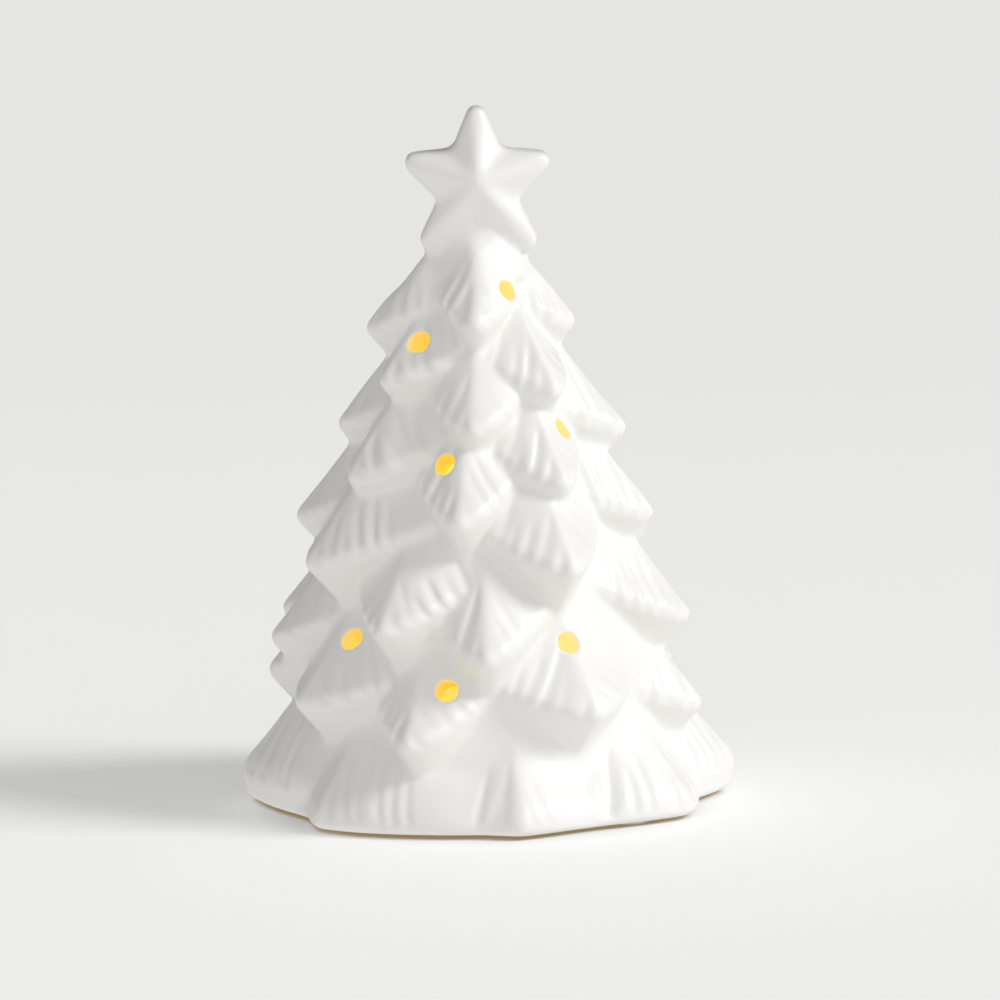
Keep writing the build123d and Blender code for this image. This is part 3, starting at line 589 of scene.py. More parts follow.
def turned(name, dark, light, spacing, gloss, node):
    """A plated metal that was turned or spun: fine rings round the middle of its piece."""
    material, net, shader, place = new_material(name)
    # Real rings are some hundredths of a millimetre apart; they are drawn wider so that they show.
    centred = add_node(net, "ShaderNodeMapping", {"Vector": place, "Location": -middle(node)})
    rings = add_node(
        net,
        "ShaderNodeTexWave",
        {
            "Vector": centred.outputs["Vector"],
            "Scale": 2 * math.pi * per_metre(spacing) / WAVE_RADIANS,
            "Distortion": 0.6,
            "Detail": 2.0,
        },
        wave_type="RINGS",
        rings_direction="Z",
    )
    colour = add_node(
        net,
        "ShaderNodeMix",
        {"Factor": rings.outputs["Fac"], "A": linear(dark), "B": linear(light)},
        data_type="RGBA",
    )
    shine = add_node(
        net,
        "ShaderNodeMapRange",
        {"Value": rings.outputs["Fac"], "To Min": gloss - 0.06, "To Max": gloss + 0.08},
    )
    bump = add_node(
        net,
        "ShaderNodeBump",
        {"Height": rings.outputs["Fac"], "Strength": 0.15, "Distance": PLATING_LINE_DEPTH * MM},
    )
    connect(
        net,
        shader,
        {
            "Base Color": colour.outputs["Result"],
            "Metallic": 1.0,
            "Roughness": shine.outputs["Result"],
            "Normal": bump.outputs["Normal"],
        },
    )
    return material


def masked_board():
    """Glass-epoxy board under green solder mask, where the copper tracks show as paler, raised lines."""
    material, net, shader, place = new_material("solder_masked_glass_epoxy")
    # At this scale the sizes of the bricks, which stand for the fields between tracks, are millimetres.
    tracks = add_node(
        net,
        "ShaderNodeTexBrick",
        {
            "Vector": place,
            "Scale": per_metre(1),
            "Brick Width": 3.4,
            "Row Height": 1.27,
            "Mortar Size": 0.15,
            "Mortar Smooth": 0.2,
            "Color1": linear("#0D4324"),
            "Color2": linear("#114F2B"),
            "Mortar": linear("#2E8A55"),
        },
        offset=0.37,
    )
    raised = add_node(
        net,
        "ShaderNodeBump",
        {"Height": tracks.outputs["Fac"], "Strength": 0.4, "Distance": TRACK_HEIGHT * MM},
    )
    connect(
        net,
        shader,
        {
            "Base Color": tracks.outputs["Color"],
            "Roughness": 0.32,
            "IOR": 1.55,
            "Normal": raised.outputs["Normal"],
        },
    )
    return material


def tinned_ends(name, node, axis, half_body, body_colour, gloss):
    """A body between tinned ends: what lies further from the middle than half the body is bare tin."""
    material, net, shader, place = new_material(name)
    centred = add_node(net, "ShaderNodeMapping", {"Vector": place, "Location": -middle(node)})
    along = add_node(net, "ShaderNodeSeparateXYZ", {"Vector": centred.outputs["Vector"]}).outputs[axis]
    out = add_node(net, "ShaderNodeMath", {0: along}, operation="ABSOLUTE")
    end = add_node(
        net,
        "ShaderNodeMath",
        {0: out.outputs["Value"], 1: half_body * MM},
        operation="GREATER_THAN",
    )
    grain = add_node(
        net,
        "ShaderNodeTexNoise",
        {"Vector": place, "Scale": per_metre(TIN_GRAIN), "Detail": 2.0},
    )
    shine = add_node(
        net,
        "ShaderNodeMapRange",
        {"Value": grain.outputs["Fac"], "To Min": gloss - 0.1, "To Max": gloss + 0.1},
    )
    colour = add_node(
        net,
        "ShaderNodeMix",
        {
            "Factor": end.outputs["Value"],
            "A": body_colour(net, along),
            "B": linear("#C9CACB"),
        },
        data_type="RGBA",
    )
    connect(
        net,
        shader,
        {
            "Base Color": colour.outputs["Result"],
            "Metallic": end.outputs["Value"],
            "Roughness": shine.outputs["Result"],
        },
    )
    return material


def chip_black(net, along):
    """Filled black epoxy of a moulded chip."""
    return linear("#1B1B1D")


def resistor_bands(net, along):
    """Tan lacquer with printed colour bands."""
    share = add_node(
        net,
        "ShaderNodeMapRange",
        {"Value": along, "From Min": -BANDED_HALF * MM, "From Max": BANDED_HALF * MM},
    )
    bands = add_node(net, "ShaderNodeValToRGB", {"Fac": share.outputs["Result"]})
    bands.color_ramp.interpolation = "CONSTANT"
    tan = "#CBA673"
    steps = (
        (0.0, tan),
        (0.16, "#6B3A1E"),
        (0.26, tan),
        (0.36, "#1D1B1A"),
        (0.46, tan),
        (0.56, "#8E2A1C"),
        (0.66, tan),
        (0.78, "#B58E3A"),
        (0.88, tan),
    )
    while len(bands.color_ramp.elements) < len(steps):
        bands.color_ramp.elements.new(0.5)
    for element, (position, colour) in zip(bands.color_ramp.elements, steps):
        element.position = position
        element.color = linear(colour)
    return bands.outputs["Color"]


def capacitor_can():
    """Aluminium can in a shrunk dark sleeve, with a pale stripe down one side and a bare top."""
    material, net, shader, place = new_material("sleeved_aluminium")
    low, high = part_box("capacitor")
    centred = add_node(net, "ShaderNodeMapping", {"Vector": place, "Location": -middle("capacitor")})
    sides = add_node(net, "ShaderNodeSeparateXYZ", {"Vector": centred.outputs["Vector"]})
    stripe = add_node(
        net,
        "ShaderNodeMath",
        {0: sides.outputs["X"], 1: STRIPE_SHARE * (high - low).x},
        operation="GREATER_THAN",
    )
    facing = add_node(net, "ShaderNodeNewGeometry", {})
    upward = add_node(net, "ShaderNodeSeparateXYZ", {"Vector": facing.outputs["Normal"]})
    top = add_node(
        net,
        "ShaderNodeMath",
        {0: upward.outputs["Z"], 1: TOP_FACING},
        operation="GREATER_THAN",
    )
    sleeve = add_node(
        net,
        "ShaderNodeMix",
        {"Factor": stripe.outputs["Value"], "A": linear("#1C2436"), "B": linear("#B9BDC4")},
        data_type="RGBA",
    )
    colour = add_node(
        net,
        "ShaderNodeMix",
        {"Factor": top.outputs["Value"], "A": sleeve.outputs["Result"], "B": linear("#C8C9CA")},
        data_type="RGBA",
    )
    wrinkle = add_node(
        net,
        "ShaderNodeTexNoise",
        {"Vector": place, "Scale": per_metre(SLEEVE_WRINKLE), "Detail": 2.0},
    )
    bump = add_node(
        net,
        "ShaderNodeBump",
        {"Height": wrinkle.outputs["Fac"], "Strength": 0.2, "Distance": SLEEVE_WRINKLE_DEPTH * MM},
    )
    connect(
        net,
        shader,
        {
            "Base Color": colour.outputs["Result"],
            "Metallic": top.outputs["Value"],
            "Roughness": 0.3,
            "Normal": bump.outputs["Normal"],
        },
    )
    return material


def lit_epoxy():
    """Clear cast epoxy of the diode, alight: brightest in the dome, where its lens gathers the light."""
    material, net, shader, place = new_material("lit_clear_epoxy")
    low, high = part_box("led_lens")
    height = add_node(net, "ShaderNodeSeparateXYZ", {"Vector": place}).outputs["Z"]
    glow = add_node(
        net,
        "ShaderNodeMapRange",
        {"Value": height, "From Min": low.z, "From Max": high.z, "To Min": 0.6, "To Max": 1.6},
    )
    connect(
        net,
        shader,
        {
            "Base Color": linear("#FFEBC4"),
            "Roughness": 0.12,
            "IOR": 1.54,
            "Emission Color": linear("#FFD98A"),
            "Emission Strength": glow.outputs["Result"],
        },
    )
    return material


def soft_abs(values, rounding):
    """Distance from zero, rounded off at zero."""
    return np.sqrt(values * values + rounding * rounding) - rounding


def soft_min(a, b, rounding):
    """The smaller of two surfaces, rounded where they meet."""
    share = np.clip(0.5 + 0.5 * (b - a) / rounding, 0, 1)
    return b * (1 - share) + a * share - rounding * share * (1 - share)


def ramp(start, end, values):
    """0 before start and 1 after end, with a smooth rise between."""
    share = np.clip((values - start) / (end - start), 0, 1)
    return share * share * (3 - 2 * share)


def read_line(points, height):
    """Radius at a height along a line of heights and radii."""
    heights, radii = zip(*points)
    return np.interp(height, heights, radii)


def turned_from(turn, azimuth):
    """Angle from an azimuth, between half a turn each way."""
    return (turn - math.radians(azimuth) + math.pi) % (2 * math.pi) - math.pi


def bough_face(across, up, tip_radius, left_slope, right_slope, face_slope, under_slope, rise):
    """Radius of a bough: two sloping faces that meet in a ridge, and an underside that runs back in."""
    # Rounding the lower edge takes a quarter of its size off the tip, so the ridge starts that much out.
    side_slope = left_slope + (right_slope - left_slope) * ramp(-RIDGE_ROUND, RIDGE_ROUND, across)
    ridge = tip_radius + EDGE_ROUND / 4 - side_slope * soft_abs(across, RIDGE_ROUND)
    face = ridge - face_slope * up
    under = ridge + under_slope * up - rise * (face_slope + under_slope) * soft_abs(across, TIP_ROUND)
    return soft_min(face, under, EDGE_ROUND)


def needle_grooves(across, up, rise, sides, chance):
    """Depth of the needle grooves on a bough's faces: they start over its lower edge and fade upwards."""
    over_edge = up - rise * soft_abs(across, TIP_ROUND)
    depth = np.zeros_like(across)
    for side, share, leans in sides:
        face_lean = chance.uniform(*leans)
        aside = side * across
        for number in range(GROOVE_COUNT):
            lean = math.radians(face_lean + chance.uniform(-GROOVE_FAN, GROOVE_FAN))
            groove = GROOVE_FIRST + number * GROOVE_PITCH + chance.uniform(-GROOVE_SHIFT, GROOVE_SHIFT)
            from_groove = aside * math.cos(lean) + up * math.sin(lean) - groove
            reach = chance.uniform(*GROOVE_REACH)
            pressed = share * chance.uniform(*GROOVE_DEPTH) * ramp(*GROOVE_FROM_RIDGE, aside)
            faded = 1 - ramp(reach - GROOVE_FADE, reach, over_edge)
            width = chance.uniform(*GROOVE_WIDTH) * np.interp(over_edge, (0, reach), GROOVE_TAPER)
            depth += pressed * faded * np.exp(-((from_groove / width) ** 2))
    return depth * ramp(*GROOVE_START, over_edge)


def soften(radius, size, spacing):
    """Softens the skin over that many millimetres, up and down and around the tree, as glaze does."""
    # Beyond three times the size the weights come to next to nothing.
    reach = math.ceil(3 * size / spacing)
    offsets = np.arange(-reach, reach + 1)
    weights = np.exp(-0.5 * (offsets * spacing / size) ** 2)
    padded = np.pad(radius, ((reach, reach), (0, 0)), mode="edge")
    rows = len(radius)
    softened = sum(w * padded[i : i + rows] for i, w in enumerate(weights / weights.sum()))
    waves = np.fft.rfft(softened, axis=1)
    number = np.arange(waves.shape[1])
    mean = softened.mean(axis=1, keepdims=True)
    return np.fft.irfft(waves * np.exp(-0.5 * (number * size / mean) ** 2), n=radius.shape[1], axis=1)


def tree_skin(turn, height):
    """Radius of the tree at each turn and height: trunk and boughs, run together and softened by glaze."""
    chance = np.random.default_rng(SEED)
    layers = [read_line(TRUNK, height)]
    grooves = [np.zeros_like(height)]
    boughs = [(row[0] + repeat, *row[1:-1]) for row in FRONT_BOUGHS for repeat in (0, row[-1])]
    boughs += SIDE_BOUGHS
    for azimuth, tip, past, rise, left_slope, right_slope, left, right in boughs:
        tip_radius = read_line(TIPS, tip) + past
        across = tip_radius * turned_from(turn, azimuth)
        up = height - tip
        slopes = (left_slope, right_slope, FACE_SLOPE, UNDER_SLOPE)
        layers.append(bough_face(across, up, tip_radius, *slopes, rise))
        sides = ((-1, left, GROOVE_LEAN_LEFT), (1, right, GROOVE_LEAN_RIGHT))
        grooves.append(needle_grooves(across, up, rise, sides, chance))
    for azimuth, tip_radius, tip, left_slope, right_slope, left, right in BASE_BOUGHS:
        for half in (0, 180):
            across = tip_radius * turned_from(turn, azimuth + half)
            up = height - tip
            slopes = (left_slope, right_slope, BASE_FACE_SLOPE, BASE_UNDER_SLOPE)
            layers.append(bough_face(across, up, tip_radius, *slopes, 0.0))
            sides = ((-1, left, BASE_GROOVE_LEAN), (1, right, BASE_GROOVE_LEAN))
            grooves.append(needle_grooves(across, up, 0.0, sides, chance))
    highest = np.max(layers, axis=0)
    shares = [np.exp(VALLEY_SHARPNESS * (layer - highest)) for layer in layers]
    together = sum(shares)
    radius = highest + np.log(together) / VALLEY_SHARPNESS
    no_limit = 2 * FOOT_RADIUS
    most = np.where(height > NECK[0][0], read_line(NECK, height), no_limit)
    radius = soft_min(radius, most, NECK_ROUND)
    radius = radius - sum(share * groove for share, groove in zip(shares, grooves)) / together
    for _ in range(WAVE_COUNT):
        around = chance.integers(*WAVES_AROUND)
        upward = chance.uniform(*WAVES_UPWARD)
        start = chance.uniform(0, 2 * math.pi)
        radius = radius + WAVE_HEIGHT / 2 * np.sin(around * turn + upward * height + start)
    return soften(radius, GLAZE_SOFTENING, ROW_STEP)


def ring_mesh(name, rings, top, bottom):
    """A closed mesh from rings of points, with a point at each end."""
    count = len(rings[0])
    points = np.concatenate([*rings, [top, bottom]]) * MM
    first = np.arange(count)
    following = np.roll(first, -1)
    starts = np.arange(len(rings) - 1)[:, None] * count
    corners = (starts + first, starts + count + first, starts + count + following, starts + following)
    quads = np.stack([c.ravel() for c in corners], axis=1).tolist()
    last = (len(rings) - 1) * count
    pairs = list(zip(first.tolist(), following.tolist()))
    caps = [(len(points) - 2, a, b) for a, b in pairs]
    caps += [(len(points) - 1, last + b, last + a) for a, b in pairs]
    mesh = bpy.data.meshes.new(name)
    mesh.from_pydata(points.tolist(), [], quads + caps)
    return mesh


def show(name, mesh):
    """A new object in the scene that shows a mesh."""
    piece = bpy.data.objects.new(name, mesh)
    bpy.context.scene.collection.objects.link(piece)
    return piece


def apply_modifiers(piece):
    """Puts the result of a piece's modifiers into its mesh."""
    graph = bpy.context.evaluated_depsgraph_get()
    shaped = bpy.data.meshes.new_from_object(piece.evaluated_get(graph))
    piece.modifiers.clear()
    piece.data = shaped


def combine(piece, other, operation):
    """Joins another closed piece to this one, or cuts it away, and deletes the other."""
    modifier = piece.modifiers.new(operation.lower(), "BOOLEAN")
    modifier.operation = operation
    modifier.solver = "MANIFOLD"
    modifier.object = other
    apply_modifiers(piece)
    bpy.data.objects.remove(other)


def set_slot(mesh, slot):
    """Gives every face of a mesh the same material slot."""
    mesh.polygons.foreach_set("material_index", np.full(len(mesh.polygons), slot, np.int32))


def read_mesh(items, name, width, kind):
    """One property of all a mesh's items, as an array."""
    values = np.empty(len(items) * width, kind)
    items.foreach_get(name, values)
    return values.reshape(-1, width) if width > 1 else values


def soften_seam(mesh, slot, other, reach, rounds):
    """Rounds the line where faces of two material slots meet, over that many millimetres."""
    points = read_mesh(mesh.vertices, "co", 3, float)
    face_slots = read_mesh(mesh.polygons, "material_index", 1, np.int32)
    corner_slots = np.repeat(face_slots, read_mesh(mesh.polygons, "loop_total", 1, np.int32))
    corners = read_mesh(mesh.loops, "vertex_index", 1, np.int32)
    touched = np.zeros((len(points), 2), bool)
    touched[corners[corner_slots == slot], 0] = True
    touched[corners[corner_slots == other], 1] = True
    seam = np.nonzero(touched.all(axis=1))[0]
    finder = KDTree(len(seam))
    for index in seam:
        finder.insert(points[index], int(index))
    finder.balance()
    low = points[seam].min(axis=0) - reach * MM
    high = points[seam].max(axis=0) + reach * MM
    weight = np.zeros(len(points))
    for index in np.nonzero(((points > low) & (points < high)).all(axis=1))[0]:
        weight[index] = 1 - ramp(0.0, reach * MM, finder.find(points[index])[2])
    moved = np.nonzero(weight)[0]
    a, b = read_mesh(mesh.edges, "vertices", 2, np.int32).T
    used = (weight[a] > 0) | (weight[b] > 0)
    ends = np.concatenate([a[used], b[used]])
    others = np.concatenate([b[used], a[used]])
    count = np.bincount(ends, minlength=len(points))[moved, None]
    for _ in range(rounds):
        total = [np.bincount(ends, points[others, axis], len(points))[moved] for axis in range(3)]
        mean = np.stack(total, axis=1) / count
        points[moved] += RUB * weight[moved, None] * (mean - points[moved])
    mesh.vertices.foreach_set("co", points.ravel())
    mesh.update()


def even_out(mesh, above, spacing):
    """Thins out the points that crowd together over a height, where the tree narrows."""
    shape = bmesh.new()
    shape.from_mesh(mesh)
    crowded = [point for point in shape.verts if point.co.z > above * MM]
    bmesh.ops.remove_doubles(shape, verts=crowded, dist=spacing * MM)
    shape.to_mesh(mesh)
    shape.free()


def star_piece():
    """The five-pointed star on its neck: ridges from its middle to each point, softened all over."""
    right = [(x * STAR_RADIUS, y * STAR_RADIUS) for x, y in STAR_OUTLINE]
    outline = right + [(-x, y) for x, y in reversed(right[1:-1])]
    shape = bmesh.new()
    front = [shape.verts.new((x, -STAR_RIM, y + STAR_CENTRE)) for x, y in outline]
    back = [shape.verts.new((x, STAR_RIM, y + STAR_CENTRE)) for x, y in outline]
    front_middle = shape.verts.new((0, -STAR_DEPTH, STAR_CENTRE))
    back_middle = shape.verts.new((0, STAR_DEPTH, STAR_CENTRE))
    for i in range(len(outline)):
        j = (i + 1) % len(outline)
        shape.faces.new((front_middle, front[j], front[i]))
        shape.faces.new((back_middle, back[i], back[j]))
        shape.faces.new((front[i], front[j], back[j], back[i]))
    (neck_low, neck_low_radius), (neck_high, neck_high_radius) = STAR_NECK
    bmesh.ops.create_cone(
        shape,
        cap_ends=True,
        segments=ROUND_SEGMENTS,
        radius1=neck_low_radius,
        radius2=neck_high_radius,
        depth=neck_high - neck_low,
        matrix=Matrix.Translation((0, 0, (neck_low + neck_high) / 2)),
    )
    bmesh.ops.recalc_face_normals(shape, faces=shape.faces)
    bmesh.ops.scale(shape, vec=(MM, MM, MM), verts=shape.verts)
    mesh = bpy.data.meshes.new("star")
    shape.to_mesh(mesh)
    shape.free()
    star = show("star", mesh)
    clay = star.modifiers.new("clay", "REMESH")
    clay.mode = "VOXEL"
    clay.voxel_size = STAR_VOXEL * MM
    softening = star.modifiers.new("softening", "SMOOTH")
    softening.iterations = STAR_SMOOTHING
    apply_modifiers(star)
    return star


def hole_cutters(skin_radius):
    """Round cutters for the light holes, flared at the skin so that each hole gets a soft lip."""
    depths = np.concatenate([[HOLE_INNER_END], np.arange(*HOLE_RINGS)])
    sizes = HOLE_RADIUS * (1 + (HOLE_FLARE - 1) * ramp(*HOLE_FLARE_LENGTHS, depths))
    profile = list(zip(depths, sizes))
    tilt = math.radians(HOLE_TILT)
    round_turns = np.linspace(0, 2 * math.pi, ROUND_SEGMENTS, endpoint=False)
    circle = np.stack([np.cos(round_turns), np.sin(round_turns), np.zeros_like(round_turns)], axis=1)
    cutters = bmesh.new()
    for azimuth, height in LIGHT_HOLES:
        for half in (0, 180):
            turn = math.radians(azimuth + half)
            outward = Vector((math.sin(turn), -math.cos(turn), 0))
            along = outward * math.cos(tilt) + Vector((0, 0, math.sin(tilt)))
            start = outward * skin_radius(turn, height) + Vector((0, 0, height))
            basis = np.array(along.to_track_quat("Z", "Y").to_matrix())
            rings = []
            for depth, size in reversed(profile):
                rings.append((size * circle + (0, 0, depth)) @ basis.T + np.array(start))
            ends = [np.array(start + along * profile[end][0]) for end in (-1, 0)]
            mesh = ring_mesh("cutter", rings, *ends)
            cutters.from_mesh(mesh)
            bpy.data.meshes.remove(mesh)
    mesh = bpy.data.meshes.new("cutters")
    cutters.to_mesh(mesh)
    cutters.free()
    return show("cutters", mesh)


def glazed_tree(slots):
    """The tree: boughs, foot, floor and hollow as one casting, with its star and light holes."""
    turns = np.linspace(0, 2 * math.pi, COLUMNS, endpoint=False)
    outward = np.stack([np.sin(turns), -np.cos(turns)], axis=1)

    def ring(radius, height):
        """One row of points round the tree."""
        radii = np.broadcast_to(radius, turns.shape)
        level = np.full(turns.shape, height)
        return np.concatenate([outward * radii[:, None], level[:, None]], axis=1)

    heights = np.append(np.arange(NECK_TOP, FOOT_HEIGHT, -ROW_STEP), FOOT_HEIGHT)
    grid_turns, grid_heights = np.meshgrid(turns, heights)
    skin = tree_skin(grid_turns, grid_heights)
    lip = np.clip((FOOT_HEIGHT + LIP_ROUND - grid_heights) / LIP_ROUND, 0, 1)
    skin = skin - LIP_ROUND * (1 - np.sqrt(1 - lip * lip))

    def skin_radius(turn, height):
        """Radius of the skin's grid point that is nearest to a turn and a height."""
        row = np.argmin(np.abs(heights - height))
        column = round(turn / (2 * math.pi) * COLUMNS) % COLUMNS
        return float(skin[row, column])

    recess = FOOT_RADIUS - FOOT_RING_WIDTH
    rows = [(GLAZED if h > FOOT_HEIGHT + BARE_EDGE else BARE, r, h) for r, h in zip(skin, heights)]
    rows += [(BARE, skin[-1] + share * (recess - skin[-1]), FOOT_HEIGHT) for share in FOOT_RING_SHARES]
    rows += [
        (GLAZED, recess, FOOT_HEIGHT + RECESS_EDGE),
        (GLAZED, recess - RECESS_DRAFT, FLOOR_UNDER - RECESS_EDGE),
        (GLAZED, recess - RECESS_FILLET, FLOOR_UNDER),
        (GLAZED, OPENING_RADIUS + OPENING_CHAMFER, FLOOR_UNDER),
        (GLAZED, OPENING_RADIUS, FLOOR_UNDER + OPENING_CHAMFER),
        (GLAZED, OPENING_RADIUS, FLOOR_TOP - OPENING_CHAMFER),
        (LIT_INSIDE, OPENING_RADIUS + OPENING_CHAMFER, FLOOR_TOP),
    ]
    hollow_top = HOLLOW[-1][0]
    hollow_heights = np.linspace(HOLLOW_START, hollow_top, HOLLOW_ROWS)
    rows += [(LIT_INSIDE, read_line(HOLLOW, h), h) for h in hollow_heights]
    rings = [ring(radius, height) for _, radius, height in rows]
    mesh = ring_mesh("glazed_tree", rings, (0, 0, NECK_TOP + CAP_RISE), (0, 0, hollow_top + CAP_RISE))
    row_slots = np.array([slot for slot, _, _ in rows[:-1]] + [GLAZED, LIT_INSIDE], np.int32)
    mesh.polygons.foreach_set("material_index", np.repeat(row_slots, COLUMNS))
    even_out(mesh, EVEN_ABOVE, EVEN_SPACING)
    tree = show("glazed_tree", mesh)
    star = star_piece()
    cutters = hole_cutters(skin_radius)
    for piece in (tree, star, cutters):
        for material in slots:
            piece.data.materials.append(material)
    # The star borrows the slot of the hole walls until its seam is found, and is glazed after that.
    set_slot(star.data, LIT_WALL)
    set_slot(cutters.data, LIT_WALL)
    combine(tree, star, "UNION")
    soften_seam(tree.data, LIT_WALL, GLAZED, *STAR_SEAM)
    face_slots = read_mesh(tree.data.polygons, "material_index", 1, np.int32)
    face_slots[face_slots == LIT_WALL] = GLAZED
    tree.data.polygons.foreach_set("material_index", face_slots)
    combine(tree, cutters, "DIFFERENCE")
    soften_seam(tree.data, LIT_WALL, GLAZED, *HOLE_LIP)
    tree.data.shade_smooth()
    tree.data.set_sharp_from_angle(angle=math.radians(SHARP_ANGLE))
    return tree


tree = glazed_tree(
    (
        glazed_porcelain(),
        bare_bisque(),
        # The hollow and the hole walls carry the diode's light painted on as glow.
        lit_bisque(
            "lit_bisque",
            "#8C7A58",
            roof_glow="#FFDC38",
            sill_glow="#FFE448",
            sunny_glow="#FFEEA0",
            strength=1.0,
            low_share=0.4,
        ),
        lit_bisque(
            "lit_hole_wall",
            "#DDCBA0",
            roof_glow="#FFBA22",
            sill_glow="#FFDA3C",
            sunny_glow="#FFE2A2",
            strength=0.42,
            low_share=1.0,
        ),
    )
)
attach(tree, "tree")
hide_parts("ceramic_tree")


def dress(material, *names):
    """Gives a material to the pieces that keep the solid's own shape."""
    for name in names:
        slots = nodes[name].data.materials
        slots.clear()
        slots.append(material)


# ABS from a spark-eroded tool: an even satin grain with no gloss. The grain is drawn coarser than life.
white_abs = moulded(
    "moulded_white_abs",
    "#E4E2DC",
    "#EFEEEA",
    grain=0.35,
    depth=0.05,
    gloss=0.48,
    finish={"IOR": 1.53},
)
dress(white_abs, "light_housing", "light_cover", "battery_door")
black_abs = moulded(
    "moulded_black_abs",
    "#19191B",
    "#242426",
    grain=0.35,
    depth=0.05,
    gloss=0.45,
    finish={"IOR": 1.53},
)
dress(black_abs, "switch_knob")
# Silicone is milky and slightly see-through, with a dull skin.
silicone = moulded(
    "moulded_silicone",
    "#D2D1CC",
    "#E0DFDA",
    grain=0.6,
    depth=0.03,
    gloss=0.5,
    finish={"IOR": 1.41, "Subsurface Weight": 0.3, "Subsurface Scale": 0.001},
)
dress(silicone, "grip_ring")
# Die-cut polyurethane: soft, matt and a little yellowed.
pad_rubber = moulded(
    "soft_polyurethane",
    "#D5D0C2",
    "#E2DED2",
    grain=0.4,
    depth=0.06,
    gloss=0.62,
    finish={"IOR": 1.5},
)
dress(pad_rubber, "foot_pads")
# Natural nylon is milky and slightly waxy.
nylon = moulded(
    "natural_nylon",
    "#DAD5C6",
    "#E6E2D6",
    grain=0.5,
    depth=0.03,
    gloss=0.42,
    finish={"IOR": 1.53},
)
dress(nylon, "screw_retainer")
# Paper laminate shows its brown resin and flecks of fibre.
phenolic = moulded(
    "paper_phenolic",
    "#6A4222",
    "#8E5E34",
    grain=0.25,
    depth=0.04,
    gloss=0.5,
    finish={"IOR": 1.6},
)
dress(phenolic, "switch_base")
# Bright zinc over turned steel: a cool grey with fine lines.
zinc = plated("zinc_plated_steel", "#9FA3A6", "#C6C9CB", stretch=(6, 6, 1), gloss=0.32)
dress(zinc, "case_screws")
door_screw_zinc = turned(
    "zinc_plated_turned_steel",
    "#9FA3A6",
    "#C6C9CB",
    spacing=0.754,
    gloss=0.3,
    node="door_screw",
)
dress(door_screw_zinc, "door_screw")
# Nickel over spun or rolled steel: a warm bright grey.
cell_nickel = turned(
    "nickel_plated_spun_steel",
    "#B3B0A8",
    "#D2D0CA",
    spacing=1.571,
    gloss=0.26,
    node="coin_cell",
)
dress(cell_nickel, "coin_cell")
contact_nickel = plated(
    "nickel_plated_spring_steel",
    "#AFABA0",
    "#CFCCC3",
    stretch=(1, 6, 6),
    gloss=0.28,
)
dress(contact_nickel, "contact_minus", "contact_plus", "switch_can")
# Hot tin leaves a soft, bright, slightly wavy skin on the wires.
tin = plated("tinned_copper", "#B9BBBC", "#D8D9DA", stretch=(2, 2, 1), gloss=0.3)
dress(tin, "led_leads", "switch_pins")
dress(masked_board(), "circuit_board")
chip_epoxy = tinned_ends(
    "moulded_epoxy_chip",
    "timer_chip",
    "Y",
    half_body=1.97,
    body_colour=chip_black,
    gloss=0.5,
)
dress(chip_epoxy, "timer_chip")
lacquer = tinned_ends(
    "lacquered_resistor",
    "resistor",
    "X",
    half_body=1.72,
    body_colour=resistor_bands,
    gloss=0.25,
)
dress(lacquer, "resistor")
dress(capacitor_can(), "capacitor")
dress(lit_epoxy(), "led_lens")


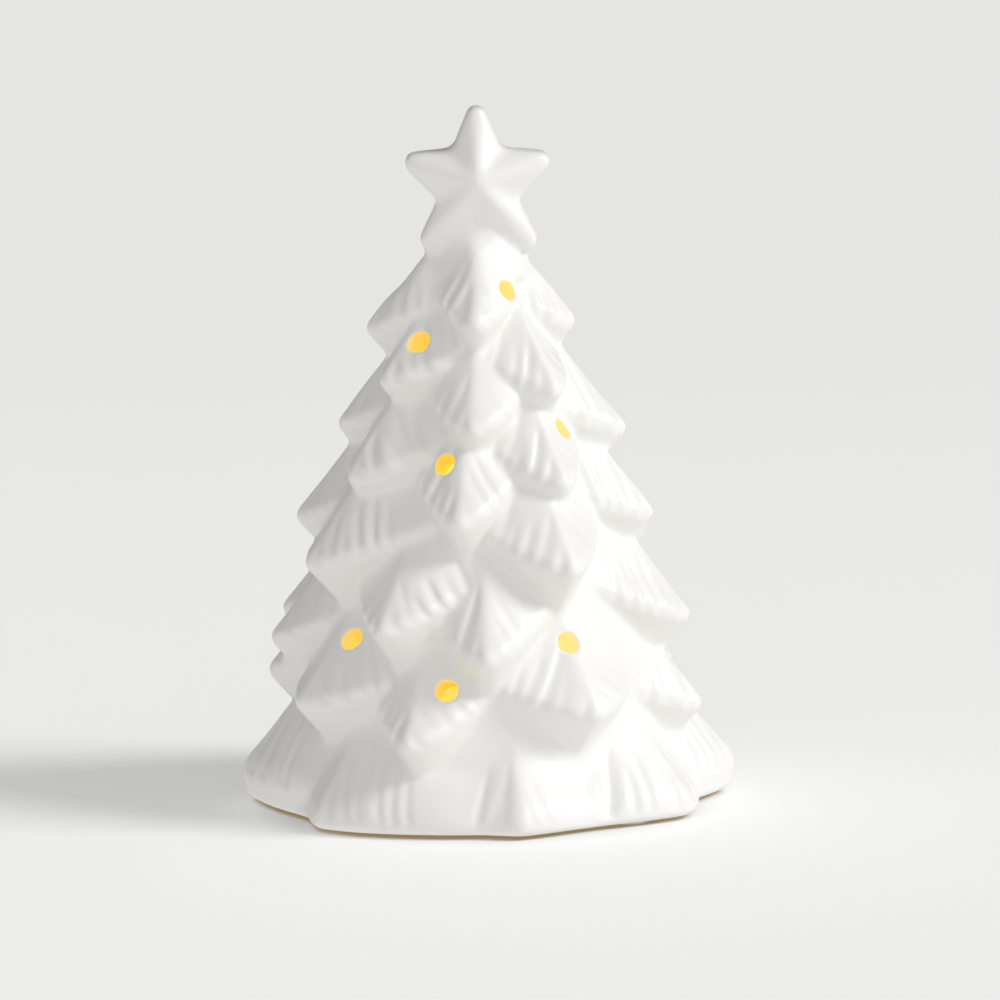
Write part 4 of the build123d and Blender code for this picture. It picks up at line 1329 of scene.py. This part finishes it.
def studio_floor():
    """A pale matt floor with a painted contact shadow round the foot. What it throws back at the object
    doesn't show the object's own shadow.
    """
    side, front, back = (length * MM for length in (STUDIO_HALF_WIDTH, -STUDIO_TO_FRONT, STUDIO_TO_BACK))
    corners = [(-side, front, 0), (side, front, 0), (side, back, 0), (-side, back, 0)]
    mesh = bpy.data.meshes.new("floor")
    mesh.from_pydata(corners, [], [(0, 1, 2, 3)])
    floor = show("floor", mesh)
    material, net, shader, place = new_material("studio_floor")
    away = add_node(net, "ShaderNodeSeparateXYZ", {"Vector": place}).outputs["Y"]
    out = add_node(net, "ShaderNodeVectorMath", {0: place}, operation="LENGTH").outputs["Value"]
    # Painted contact shadow: the floor's glow is left off under the foot and comes up to full a little
    # beyond it.
    glow_outside_painted_shadow = add_node(
        net,
        "ShaderNodeMapRange",
        {
            "Value": out,
            "From Min": FOOT_RADIUS * MM,
            "From Max": FLOOR_GLOW_FULL_SHARE * FOOT_RADIUS * MM,
            "To Max": FLOOR_GLOW,
        },
    )
    far = add_node(
        net,
        "ShaderNodeMapRange",
        {"Value": away, "From Min": 0.0, "From Max": STUDIO_FADE * MM},
    )
    paint = add_node(
        net,
        "ShaderNodeMix",
        {"Factor": far.outputs["Result"], "A": linear("#FDFDFC"), "B": linear("#F5F5F2")},
        data_type="RGBA",
    )
    connect(
        net,
        shader,
        {
            "Base Color": paint.outputs["Result"],
            "Roughness": 0.9,
            "Specular IOR Level": 0.1,
            "Emission Color": linear("#FFFFFF"),
            "Emission Strength": glow_outside_painted_shadow.outputs["Result"],
        },
    )
    bounce = add_node(net, "ShaderNodeEmission", {"Color": linear("#F4F4F2"), "Strength": FLOOR_BOUNCE})
    clear = add_node(net, "ShaderNodeBsdfTransparent", {})
    path = add_node(net, "ShaderNodeLightPath", {})
    mirrored = add_node(
        net,
        "ShaderNodeMath",
        {0: path.outputs["Is Glossy Ray"], 1: path.outputs["Is Transmission Ray"]},
        operation="MAXIMUM",
    )
    seen = add_node(
        net,
        "ShaderNodeMath",
        {0: path.outputs["Is Camera Ray"], 1: mirrored.outputs["Value"]},
        operation="MAXIMUM",
    )
    below = add_node(net, "ShaderNodeNewGeometry", {}).outputs["Backfacing"]
    lit = add_node(
        net,
        "ShaderNodeMixShader",
        {0: seen.outputs["Value"], 1: bounce.outputs["Emission"], 2: shader.outputs["BSDF"]},
    )
    whole = add_node(
        net,
        "ShaderNodeMixShader",
        {0: below, 1: lit.outputs["Shader"], 2: clear.outputs["BSDF"]},
    )
    connect(net, net.nodes["Material Output"], {"Surface": whole.outputs["Shader"]})
    mesh.materials.append(material)


def studio_light():
    """A large soft lamp on the right, and a room that is brightest in front of the tree and low down."""
    world = bpy.data.worlds.new("studio")
    bpy.context.scene.world = world
    world.use_nodes = True
    net = world.node_tree
    direction = add_node(net, "ShaderNodeTexCoord", {}).outputs["Generated"]
    towards_light = add_node(
        net,
        "ShaderNodeVectorMath",
        {0: direction, 1: ROOM_BRIGHT_SIDE},
        operation="DOT_PRODUCT",
    )
    room = add_node(
        net,
        "ShaderNodeMapRange",
        {
            "Value": towards_light.outputs["Value"],
            "From Min": -1.0,
            "From Max": 1.0,
            "To Min": ROOM_DIMMEST,
            "To Max": ROOM_BRIGHTEST,
        },
    )
    connect(
        net,
        net.nodes["Background"],
        {"Color": linear("#FFFFFE"), "Strength": room.outputs["Result"]},
    )
    lamp = bpy.data.lights.new("softbox", "SUN")
    lamp.energy = LAMP_STRENGTH
    lamp.angle = math.radians(LAMP_SPREAD)
    softbox = bpy.data.objects.new("softbox", lamp)
    bpy.context.scene.collection.objects.link(softbox)
    from_front = math.radians(LAMP_AZIMUTH)
    above = math.radians(LAMP_ELEVATION)
    towards = Vector(
        (
            math.sin(from_front) * math.cos(above),
            -math.cos(from_front) * math.cos(above),
            math.sin(above),
        )
    )
    softbox.rotation_euler = towards.to_track_quat("Z", "Y").to_euler()


def camera_at_photo_view():
    """The camera, in front of the tree and looking a little down at it."""
    elevation = math.radians(CAMERA_ELEVATION)
    roll = Matrix.Rotation(math.radians(CAMERA_ROLL), 3, "Z")
    camera = bpy.data.objects.new("camera", bpy.data.cameras.new("camera"))
    bpy.context.scene.collection.objects.link(camera)
    bpy.context.scene.camera = camera
    camera.data.sensor_width = SENSOR_WIDTH
    camera.data.lens = SENSOR_WIDTH * CAMERA_DISTANCE / PICTURE_WIDTH
    back = Vector((0, -math.cos(elevation), math.sin(elevation)))
    camera.location = (Vector(CAMERA_AIM) + CAMERA_DISTANCE * back) * MM
    camera.rotation_euler = (back.to_track_quat("Z", "Y").to_matrix() @ roll).to_euler()


studio_floor()
studio_light()
camera_at_photo_view()
bpy.context.scene.view_settings.view_transform = "Standard"
